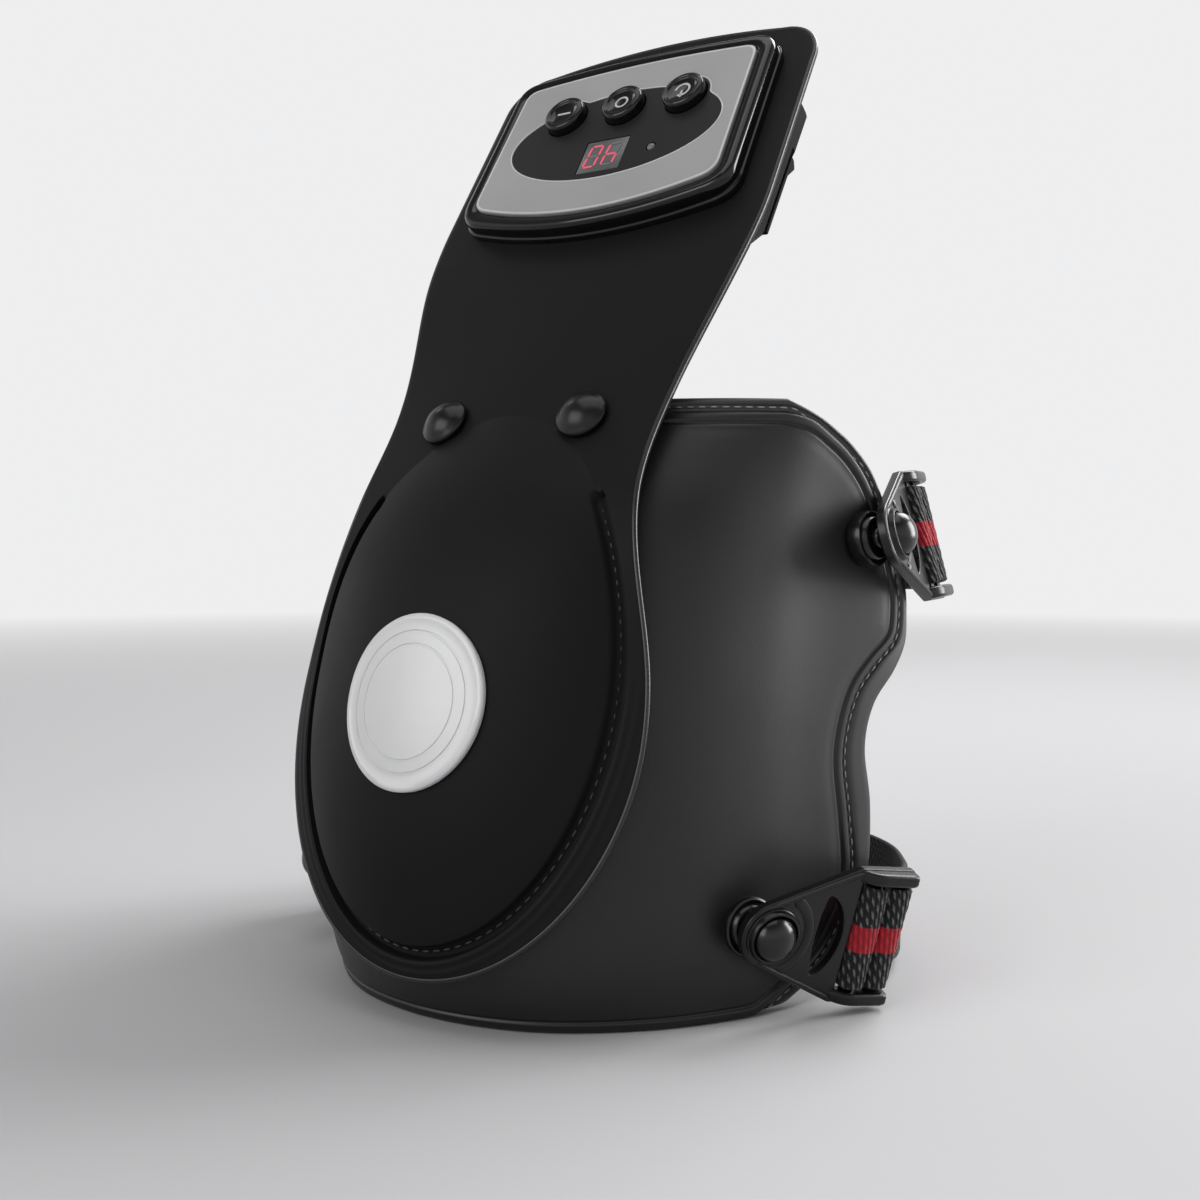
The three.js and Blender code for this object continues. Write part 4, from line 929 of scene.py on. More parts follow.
@dataclass
class WrapForm:
    """The wrap's face, read by the distance round from the front and by height."""

    plan: list[Pair] = field(default_factory=lambda: [
        (31, -71.5), (57, -52.5), (75.5, -27), (86, 0), (95.5, 26), (98.6, 42),
    ])
    front: float = -78.0
    splay: float = 34.0
    tuck: float = 6.3
    tuck_height: float = 25.0
    fullness: float = 5.0
    top: float = 176.0
    steps: int = 1600
    shell_edge: list[Pair] = field(default_factory=lambda: [
        (97, 0), (107, 5), (122, 13), (131.5, 25), (135, 37), (133.3, 54), (130.8, 72), (134.9, 88),
        (143, 97), (152, 104), (154, 112), (152.8, 122), (147, 136), (138, 151), (127, 160.5),
        (116, 166), (106, 169.8), (94, 171.8),
    ])
    band_edge: list[Pair] = field(default_factory=lambda: [
        (100.5, 0), (111, 3), (127, 11), (138, 23), (142.8, 37), (143.2, 56), (140.5, 73), (144, 85.5),
        (153, 95), (158.6, 103), (159.4, 111), (158.2, 121), (150.5, 138), (140.5, 153.5),
        (129.5, 162.3), (118, 168), (107.4, 171.8), (93, 175.8),
    ])

    def __post_init__(self) -> None:
        """Measures the plan line and the outlines."""
        self.panel = PanelForm()
        line = Spline([*((-x, y) for x, y in reversed(self.plan)), (0, self.front), *self.plan])
        self.half_length = line.length / 2
        self.table = line.evenly(self.steps + 1)
        self.fronts = [self._front(z * 0.5) for z in range(-4, 420)]
        self.shell_line, self.band_line = Spline(self.shell_edge), Spline(self.band_edge)

    def _front(self, z: float) -> float:
        """Depth of the wrap at the front, behind the panel."""
        through = (self.panel.thickness + 0.6) / cos(self.panel.slope(min(z, self.top)))
        return self.panel.centre_depth(z) + through + self.tuck * max(1 - z / self.tuck_height, 0) ** 2

    def face(self, station: float, z: float) -> Vector:
        """A point of the wrap's face."""
        place = (station / self.half_length + 1) / 2 * self.steps
        i = min(max(int(place), 0), self.steps - 1)
        plan = self.table[i].lerp(self.table[i + 1], place - i)
        place = (z + 2) * 2
        i = min(max(int(place), 0), len(self.fronts) - 2)
        front = self.fronts[i] + (self.fronts[i + 1] - self.fronts[i]) * (place - i)
        pinch = (self.splay - front) / (self.splay - self.front)
        window = min(abs(abs(station) - 66) / 50, 1.0)
        full = self.fullness * cos(window * pi / 2) ** 2
        swell = full * sin(pi * min(max(z, 0), self.top) / self.top)
        side = copysign(1, station) if station else 0
        depth = self.splay - (self.splay - plan.y) * pinch - swell * 0.66
        return Vector((plan.x + side * swell * 0.75, depth, z))

    def normal(self, station: float, z: float) -> Vector:
        """Outward direction of the face."""
        along = self.face(station + 0.5, z) - self.face(station - 0.5, z)
        return along.cross(self.face(station, z + 0.5) - self.face(station, z - 0.5)).normalized()

    def layer(self, station: float, z: float, depth: float) -> Vector:
        """A point at a level depth behind the face."""
        outward = self.normal(station, z)
        outward.z = 0
        return self.face(station, z) - outward.normalized() * depth


# Sub-assemblies


@dataclass
class FrontPanel:
    """The soft front sheet over knee and neck, with its dome, groove, stitches, emblem and rivets."""

    form: PanelForm = field(default_factory=PanelForm)
    roll: float = 1.3
    seam: float = 180.37
    top_rays: int = 60
    side_rays: int = 300
    neck_rows: int = 84
    groove_width: float = 4.3
    groove_depth: float = 2.3
    lip_rise: float = 0.35
    neck_top: float = 149.5
    neck_corner: float = 145.5
    corner_radius: float = 15.0
    window_half: float = 41.0
    window: Pair = (79.7, 127.7)
    emblem_height: float = 90.0
    rivet_spacing: float = 51.0
    rivet_height: float = 170.2

    def groove_sink(self, x: float, z: float) -> float:
        """How deep the groove is at a point, less the lips beside it."""
        half, dz = self.groove_width / 2, z - self.form.dome_centre
        away = self.form.groove_distance(x, z)
        sink = self.groove_depth * (1 - smooth_step(half - 0.75, half + 0.1, away))
        angle = atan2(dz, abs(x))
        beyond = hypot(x, dz) - self.form.groove_reach(angle)
        lip = bell(beyond, 3.2, 0.7) + 0.7 * bell(beyond, 5.6, 0.7)
        return sink - self.lip_rise * lip * (1 - smooth_step(-0.5, 0.25, angle))

    def _angles(self) -> list[float]:
        """Directions of the rays, the two top corners among them."""
        rise = self.seam - self.form.dome_centre
        corner = atan2(rise, self.form.inner_half_width(self.seam, self.roll))
        top = [corner + (pi - 2 * corner) * i / self.top_rays for i in range(self.top_rays + 1)]
        span = pi + 2 * corner
        return top + [pi - corner + span * i / self.side_rays for i in range(1, self.side_rays)]

    def _radii(self, angle: float, is_top: bool) -> list[float]:
        """Places of one ray's points, dense about the groove."""
        groove = self.form.groove_reach(angle)
        if is_top:
            edge = (self.seam - self.form.dome_centre) / sin(angle)
        else:
            edge = self.form.edge_reach(angle, self.roll, self.seam)
        inner = (0.08, 0.18, 0.28, 0.38, 0.47, 0.55, 0.62, 0.68, 0.74, 0.79, 0.835, 0.87, 0.9, 0.92)
        dense = (-4.0, -3.4, -2.9, -2.5, -2.2, -1.95, -1.7, -1.45, -1.1, -0.5, 0.0, 0.5, 1.1, 1.45, 1.7, 1.95,
                 2.2, 2.5, 2.85, 3.2, 3.6, 4.1)
        start = groove * inner[-1]
        radii = [groove * share for share in inner] + [start + (groove + dense[0] - start) * 0.5]
        radii += [groove + w for w in dense]
        rest = edge - groove - dense[-1]
        outer = (0.14, 0.28, 0.42, 0.56, 0.7, 0.84, 1.0)
        return radii + [groove + dense[-1] + rest * share for share in outer]

    def skin(self) -> Draft:
        """The whole closed sheet."""
        form, front = self.form, Draft()
        pole = front.add(form.on_face(0.0, form.dome_centre))
        rays = []
        for k, angle in enumerate(self._angles()):
            spots = [form.spot(angle, radius) for radius in self._radii(angle, k <= self.top_rays)]
            depths = [form.base(x, z) - form.dome_rise(x, z) + self.groove_sink(x, z) for x, z in spots]
            rays.append(front.ring([Vector((x, y, z)) for (x, z), y in zip(spots, depths)], spots))
        for one, two in zip(rays, rays[1:] + rays[:1]):
            front.faces.append((pole, one[0], two[0]))
            front.faces += [(one[i], one[i + 1], two[i + 1], two[i]) for i in range(len(one) - 1)]
        rows, hole = self._neck(front, [ray[-1] for ray in rays[:self.top_rays + 1]])
        loop = [row[0] for row in rows] + rows[-1][1:] + [row[-1] for row in reversed(rows[:-1])]
        loop += [ray[-1] for ray in rays[self.top_rays:]] + [rays[0][-1]]
        return self._closed(front, loop, hole)

    def _neck(self, front: Draft, seam: Sequence[int]) -> tuple[list[list[int]], list[int]]:
        """Adds the neck's rows above the seam, with the opening behind the control box.

        Args:
            front: the face so far.
            seam: the numbers of the points along the seam, right to left.

        Returns:
            The new rows and the opening's outline.
        """
        form, rows, heights = self.form, [], []
        shares = [front.points[i].x / front.points[seam[0]].x for i in seam]
        low = (self.seam - NECK_HEIGHT) / NECK_COS
        corner_top = self.neck_corner - self.roll
        radius = self.corner_radius - self.roll * 0.6
        for i in range(1, self.neck_rows + 1):
            share = 1 - (1 - i / self.neck_rows) ** 1.35
            flat = low + (corner_top - low) * share
            past = min(max((flat - corner_top + radius) / radius, 0), 1)
            curve = radius * (1 - sqrt(1 - past * past))
            half = form.inner_half_width(NECK_HEIGHT + flat * NECK_COS, self.roll) - curve
            row = []
            for across in shares:
                bow = self.neck_top - self.roll - (self.neck_top - self.neck_corner) * across * across
                x, z = across * half, NECK_HEIGHT + (low + (bow - low) * share) * NECK_COS
                row.append(front.add(Vector((x, form.base(x, z), z)), (x, z)))
            rows.append(row)
            heights.append(flat)
        across = [abs(front.points[i].x) for i in rows[len(rows) // 2]]
        columns = [k for k, x in enumerate(across) if x <= self.window_half]
        inside = [i for i, height in enumerate(heights) if self.window[0] <= height <= self.window[1]]
        left, right, bottom, top = columns[0], columns[-1], inside[0], inside[-1]
        for i, (one, two) in enumerate(zip([list(seam), *rows], rows)):
            front.faces += [(one[k], one[k + 1], two[k + 1], two[k]) for k in range(len(one) - 1)
                            if not (bottom < i <= top and left <= k < right)]
        hole = rows[bottom][left:right] + [rows[i][right] for i in range(bottom, top)]
        hole += rows[top][right:left:-1] + [rows[i][left] for i in range(top, bottom, -1)]
        return rows, hole

    def _closed(self, front: Draft, loop: Sequence[int], hole: Sequence[int]) -> Draft:
        """Closes the sheet's face with a rolled rim, a back face and a wall round the opening.

        Args:
            front: the open face, its outline already moved in by the roll.
            loop: the numbers of its outline's points, in order.
            hole: the opening's outline.

        Returns:
            The closed sheet.
        """
        form, shell, roll, thickness = self.form, Draft(), self.roll, self.form.thickness
        shell.join(front)
        places = [front.points[i] for i in loop]
        normals = [form.normal(p.x, p.z) for p in places]
        near = zip(places[-1:] + places[:-1], places[1:] + places[:1], normals)
        outward = [(ahead - behind).normalized().cross(n).normalized() for behind, ahead, n in near]
        middle = Vector((0, -60, 120))
        if sum((p - middle).dot(o) for p, o in zip(places, outward)) < 0:
            outward = [-o for o in outward]
        self.rim = [p + o * (roll - 0.62) - n * 0.75 for p, o, n in zip(places, outward, normals)]
        quarter = [pi / 8 * k for k in range(5)]
        levels = [(roll * sin(a), roll * (1 - cos(a))) for a in quarter[1:]]
        levels += [(roll * cos(a), thickness - roll * (1 - sin(a))) for a in quarter]
        before = list(loop)
        for out, deep in levels:
            row = [p + o * out - n * deep for p, o, n in zip(places, outward, normals)]
            row = shell.ring(row, [front.marks[i] for i in loop])
            shell.bridge(before, row)
            before = row
        start = len(shell.points)
        shell.ring([form.on_face(p.x, p.z, -thickness) for p in front.points], front.marks)
        shell.turn_over(front.faces, start)
        shell.bridge(before, [i + start for i in loop])
        shell.bridge(hole, [i + start for i in hole])
        return shell

    def stitch_line(self) -> list[Vector]:
        """The line of the stitches on the groove's floor."""
        line, steps = [], 240
        start, end = pi - self.form.groove_end + 0.035, tau + self.form.groove_end - 0.035
        for i in range(steps + 1):
            angle = start + (end - start) * i / steps
            x, z = self.form.spot(angle, self.form.groove_reach(angle) - 0.2)
            line.append(self.form.on_face(x, z, 0.22 - self.groove_sink(x, z)))
        return line

    def emblem(self) -> Draft:
        """The bare disc, dished to the dome, with a raised rim and two turned rings."""
        profile = [(0.0, 1.5), (4, 1.5), (8, 1.5), (12, 1.5), (15.2, 1.5), (15.4, 1.3), (15.75, 1.3),
                   (15.95, 1.5), (18.7, 1.5), (18.9, 1.26), (19.3, 1.26), (19.5, 1.5), (22.1, 1.5),
                   (22.4, 1.7), (23.4, 1.7), (23.8, 1.5), (24.0, 1.2), (24.0, 0.1), (23.4, -0.1), (0.0, -0.1)]
        form, middle, forward = self.form, self.emblem_height, Vector((0, -0.25, 0))
        return lathe(profile, 96).moved(lambda p: form.on_face(p.x, middle + p.y, p.z) + forward)

    def rivet(self, side: Side) -> Draft:
        """A domed rivet with a washer edge, and its tail behind the wrap."""
        dome = arc((9.9, 9.9), 90, 47, 12, (0, -4.4))
        profile = [(0.0, dome[0][1]), *dome[1:], (7.5, 2.35), (7.9, 2.0), (8.05, 1.5), (8.0, 0.9),
                   (7.6, 0.55), (6.4, 0.5), (2.6, 0.4), (2.6, -9.6), (5.1, -9.7), (5.4, -10.1), (5.2, -10.7),
                   (3.0, -10.95), (0.0, -11.0)]
        x, z = side.value * self.rivet_spacing / 2, self.rivet_height
        return lathe(profile, 40).moved(stood(self.form.normal(x, z), Vector((x, self.form.base(x, z), z))))

    def build(self) -> None:
        """Makes and dresses the panel."""
        skin = self.skin().make("panel_skin", SOFT_PANEL, 50)
        edge = swept(self.rim, 0.85, 10, looped=True, pole=(0, -1, 0)).make("panel_edge", PANEL_EDGE, 80)
        ends = [place_m(self.form.on_face(0, z)) for z in (172.5, 187.5)]
        for piece in (skin, edge):
            joins(piece, ("front", "neck"), ends, "knee_panel", "neck_panel")
        seat(StitchRow(3.6, 2.5, 0.36).make("groove_stitches", self.stitch_line(), PANEL_THREAD), "front")
        seat(self.emblem().make("emblem_face", EMBLEM, 35), "front", "emblem_disc")
        for side in Side:
            rivet = self.rivet(side).make(f"rivet_cap_{side.word}", RIVET, 45)
            seat(rivet, "front", f"rivet_{side.word}")
        LOG.info("front panel built")


@dataclass
class Wrap:
    """The padded wrap: a moulded skin, an edge band, stitches and a quilted liner for each side."""

    form: WrapForm = field(default_factory=WrapForm)
    thickness: float = 3.2
    roll: float = 1.2
    foot: float = 0.15
    centre: Pair = (60.0, 86.0)
    seam_rows: int = 40
    channels: tuple[float, ...] = (30.0, 62.0, 94.0, 122.0)
    joint: Pair = (39.5, 64.5)
    top_edge: float = 171.8
    top_rise: float = 4.0
    liner_foot: float = 0.9
    liner_over: float = 1.6
    band_end: float = 36.0
    band_over: float = 4.1

    def _top(self, station: float) -> float:
        """Height of the skin's top edge inside the wing."""
        return self.top_edge + self.top_rise * (1 - smooth_step(22, 39, station))

    def edge(self) -> tuple[list[Vector], list[Vector]]:
        """The skin's edge from the front's foot, round the wing and back along the top.

        Returns:
            Its points, as stations and heights, and their outward directions.
        """
        line = [Vector((97 * i / 54, self.foot)) for i in range(54)]
        line += [Vector((p.x, max(p.y, self.foot))) for p in self.form.shell_line.evenly(170)]
        line += [Vector((s, self._top(s))) for s in (94 * (1 - i / 56) for i in range(1, 57))]
        for _ in range(3):
            middle = [(a + b * 2 + c) / 4 for a, b, c in zip(line, line[1:], line[2:])]
            line = [line[0], *middle, line[-1]]
        last = len(line) - 1
        ways = [line[min(i + 3, last)] - line[max(i - 3, 0)] for i in range(last + 1)]
        outward = [Vector((way.y, -way.x)).normalized() for way in ways]
        outward[0], outward[-1] = Vector((0, -1)), Vector((0, 1))
        return line, outward

    def _relief(self, inset: float) -> float:
        """Depth of the skin's face at a distance from its edge: groove, bead and rim."""
        soft = 0.28 * bell(inset, 5.2, 1.9) if inset > 3.35 else 0.0
        rim = self.roll - sqrt(self.roll ** 2 - max(self.roll - inset, 0) ** 2)
        return 0.75 * bell(inset, 3.35, 0.55) + soft + rim

    def skin(self) -> Draft:
        """The right half of the skin, closed."""
        form, front, rows = self.form, Draft(), []
        points, outward = self.edge()
        insets = (0.0, 0.12, 0.4, 0.8, 1.2, 1.6, 2.0, 2.35, 2.65, 2.9, 3.1, 3.35, 3.6, 3.85, 4.15, 4.6, 5.2,
                  6.0, 7.2, 9.0)
        for inset in insets:
            spots = [(p.x - out.x * inset if p.x else 0.0, p.y - out.y * inset)
                     for p, out in zip(points, outward)]
            rows.append(front.ring([form.layer(*spot, self._relief(inset)) for spot in spots], spots))
        front.strips(rows, closed=False)
        low, high = front.marks[rows[-1][0]][1], front.marks[rows[-1][-1]][1]
        spots = [(0.0, high + (low - high) * i / self.seam_rows) for i in range(1, self.seam_rows)]
        seam = front.ring([form.layer(*spot, 0.0) for spot in spots], spots)
        before = rim = rows[-1] + seam
        centre, count = Vector(self.centre), 20
        for k in range(1, count):
            spots = [tuple(centre + (Vector(front.marks[i]) - centre) * (1 - k / count)) for i in rim]
            row = front.ring([form.layer(*spot, 0.0) for spot in spots], spots)
            front.bridge(before, row)
            before = row
        front.fan(before, front.add(form.layer(*self.centre, 0.0), self.centre))
        return self._closed(front, rows, seam)

    def _closed(self, front: Draft, rows: Sequence[Sequence[int]], seam: Sequence[int]) -> Draft:
        """Gives the skin its rim, back and seam wall."""
        form, shell = self.form, Draft()
        shell.join(front)
        start = len(shell.points)
        shell.ring([form.layer(*mark, self.thickness) for mark in front.marks], front.marks)
        shell.turn_over(front.faces, start)
        before, marks = list(rows[0]), [front.marks[i] for i in rows[0]]
        for deep in (1.6, 2.0, 2.4, 2.8):
            row = shell.ring([form.layer(*mark, deep) for mark in marks], marks)
            shell.bridge(before, row, closed=False)
            before = row
        shell.bridge(before, [i + start for i in rows[0]], closed=False)
        wall = [row[0] for row in rows] + list(reversed(seam)) + [row[-1] for row in reversed(rows)]
        shell.bridge(wall, [i + start for i in wall], closed=False)
        return shell

    def band(self) -> tuple[Draft, list[Vector]]:
        """The right edge band, and the line of its stitches."""
        form, rings, stitches = self.form, [], []
        steps, closing, first, middle = 230, 50, 0.012, 2.0
        for i in range(steps + 1):
            t = first + (1 - first) * min(i / (steps - closing), 1)
            past = max((i - steps + closing) / closing, 0)
            ahead = form.shell_line.at(min(t + 0.01, 1)) - form.shell_line.at(max(t - 0.01, 0))
            inner = form.shell_line.at(t) - Vector((ahead.y, -ahead.x)).normalized() * 0.3
            outer = form.band_line.at(t)
            for spot in (inner, outer):
                spot.x += (self.band_end - spot.x) * past
            inner.y, outer.y = max(inner.y, self.foot + 0.2), max(outer.y, self.foot)
            if past > 0:
                inner.y = max(inner.y, self._top(inner.x) - 0.3)
                outer.y = max(outer.y, inner.y + self.band_over)
            wide = max((outer - inner).length, 1.2)
            out = (outer - inner) / wide
            taper = smooth_step(-1, 7, i) * smooth_step(-1, 4, steps - i)
            ring = []
            for e, deep in self._band_profile(wide):
                spot = inner + out * (e * taper if e > 0 else e)
                depth = middle + (deep - middle) * (0.3 + 0.7 * taper)
                ring.append(form.layer(spot.x, max(spot.y, self.foot), depth))
            rings.append(ring)
            if wide > 3.6 and 3 < i < steps - 3:
                stitches.append(form.layer(*(inner + out * 1.55), 1.02))
        return Draft().loft(rings), stitches

    def _band_profile(self, wide: float) -> list[Pair]:
        """The band's outline across, as distance from the skin's edge and depth."""
        scale = min(wide / 4.2, 1.0)
        crown = 1.3 - 0.95 * scale
        inner = [(-0.5, 2.4), (0.2, 1.75), (0.7, 1.42), (1.1, 1.3), (1.9, 1.28), (2.15, 1.1), (2.4, 0.75),
                 (2.7, 0.5)]
        inner = [(e * scale, 1.3 + (d - 1.3) * scale) for e, d in inner]
        start = inner[-1][0]
        top = [(start + (wide - 0.9 - start) * t, crown) for t in (0.25, 0.5, 0.75, 1.0)]
        rim = [(-0.45, crown + 0.16), (-0.15, crown + 0.5), (0, crown + 1.1), (0, 2.4), (-0.12, 3.0),
               (-0.45, 3.38), (-1.0, 3.55)]
        under = [(wide * 0.5, 3.6), (0.6, 3.5), (-0.4, 3.3)]
        return inner + top + [(wide + e, d) for e, d in rim] + under

    def liner(self) -> Draft:
        """The right half of the padded liner, crowned towards the leg and sewn in channels."""
        form, draft, count, foot = self.form, Draft(), 120, self.liner_foot
        loop = [Vector((98 * i / 30, foot)) for i in range(30)]
        for a, b in zip(form.shell_line.evenly(count), form.band_line.evenly(count)):
            p = a.lerp(b, 0.72)
            loop.append(Vector((p.x, max(p.y - 0.2, foot))))
        back = [93.5 * (1 - i / 30) for i in range(1, 31)]
        loop += [Vector((s, self._top(s) + self.liner_over)) for s in back]
        loop[-1].x = 0.0
        low, high = loop[0].y, loop[-1].y
        rim = loop + [Vector((0.0, high + (low - high) * i / 40)) for i in range(1, 40)]
        centre, faces = Vector(self.centre), []
        shares = [1.0, 0.992, 0.98, 0.965, 0.95, 0.935, 0.915, 0.895, 0.87]
        shares += [0.84 - 0.04 * i for i in range(21)]
        for is_back in (False, True):
            rows = []
            for share in shares:
                row = []
                for k, p in enumerate(rim):
                    q = centre + (p - centre) * share
                    if share == 1:
                        q = p
                    elif k == 0 or k >= len(loop) - 1:
                        q = Vector((centre.x * (1 - share), q.y))
                    row.append(draft.add(form.layer(*q, self._liner_depth(q, p, share, is_back)), tuple(q)))
                rows.append(row)
            draft.strips(rows)
            deep = self._liner_depth(centre, centre, 0.0, is_back)
            draft.fan(rows[-1], draft.add(form.layer(*centre, deep), self.centre))
            faces.append(rows[0])
        draft.bridge(*faces)
        return draft

    def _liner_depth(self, place: Vector, rim: Vector, share: float, is_back: bool) -> float:
        """Depth of the liner's two faces: thin at the sewn edge, full inside."""
        away = (1 - share) * (rim - Vector(self.centre)).length if rim.x > 0.5 else 30.0
        over = self._top(place.x) + self.liner_over - place.y
        away = min(away, max(place.y - self.liner_foot, 0.0), max(over, 0.0))
        puff = smooth_step(0, 7, away)
        if not is_back:
            return 3.7 + 1.5 * puff
        channel = min(1 - 0.5 * bell(place.x, line, 1.3) for line in self.channels) if place.x > 3 else 1.0
        return 4.6 + 3.9 * sqrt(puff) * (1 - 0.55 * bell(away, 7.5, 0.8)) * channel

    def build(self) -> None:
        """Makes and dresses both halves."""
        skin, (band, line), liner = self.skin(), self.band(), self.liner()
        for side in Side:
            word = side.word
            sewn = [side.turn(p) for p in line]
            shells = [f"wing_shell_{word}"] + ["wrap_centre_shell"] * (side is Side.RIGHT)
            made = [
                (skin.on(side).make(f"wrap_skin_{word}", WRAP_SKIN, 50), shells),
                (band.on(side).make(f"wrap_band_{word}", EDGE_BAND, 60), [f"wing_binding_{word}"]),
                (liner.on(side).make(f"wrap_liner_{word}", LINER, 70), [f"wing_liner_{word}"]),
                (StitchRow(3.4, 2.3, 0.3).make(f"wrap_stitches_{word}", sewn, BAND_THREAD), []),
            ]
            ends = [(x * MM * side.value, 0.0, 0.0) for x in self.joint]
            for piece, nodes in made:
                joins(piece, ("front", f"wing_{word}"), ends, *nodes)
                f"wing_liner_{word}" in nodes
        LOG.info("wrap built")


@dataclass
class Webbing:
    """Elastic webbing: ribbed, with a red stripe along its middle."""

    width: float = 31.0
    thickness: float = 1.5
    rib_height: float = 0.36
    across_steps: int = 62
    step: float = 0.31

    def rib(self, u: float, v: float) -> float:
        """Height of the ribs at a place of the cloth."""
        wave = abs(sin(pi * (u + WEBBING.slant * v) / WEBBING.pitch))
        knot = 0.5 + 0.5 * sin(tau * (v / WEBBING.dash + 0.5 * u / WEBBING.pitch))
        return self.rib_height * (wave ** 0.8 * (0.55 + 0.45 * knot) - 0.5)

    def sheet(self, rows: Sequence[tuple[Vector, Vector, Vector, float]], thin_ends: bool = False) -> Draft:
        """A closed length of webbing.

        Args:
            rows: for each step its middle, its direction across, its direction outwards and its
                distance along the cloth.
            thin_ends: whether both ends are pressed thin.

        Returns:
            The webbing.
        """
        rings, marks, half, deep = [], [], self.width / 2, self.thickness / 2
        across_cloth = [half * (1 - 2 * k / self.across_steps) for k in range(self.across_steps + 1)]
        for i, (middle, across, outward, u) in enumerate(rows):
            end = 0.35 if thin_ends and i in (0, len(rows) - 1) else 1.0
            ring, spots = [], []
            for side in (1, -1):
                for v in (side * place for place in across_cloth):
                    fall = sqrt(max(1 - max((abs(v) - half + deep) / deep, 0) ** 2, 0))
                    height = side * (deep + self.rib(u, v)) * fall * end
                    ring.append(middle + across * v + outward * height)
                    spots.append((u, v))
            rings.append(ring)
            marks.append(spots)
        return Draft().loft(rings, marks)


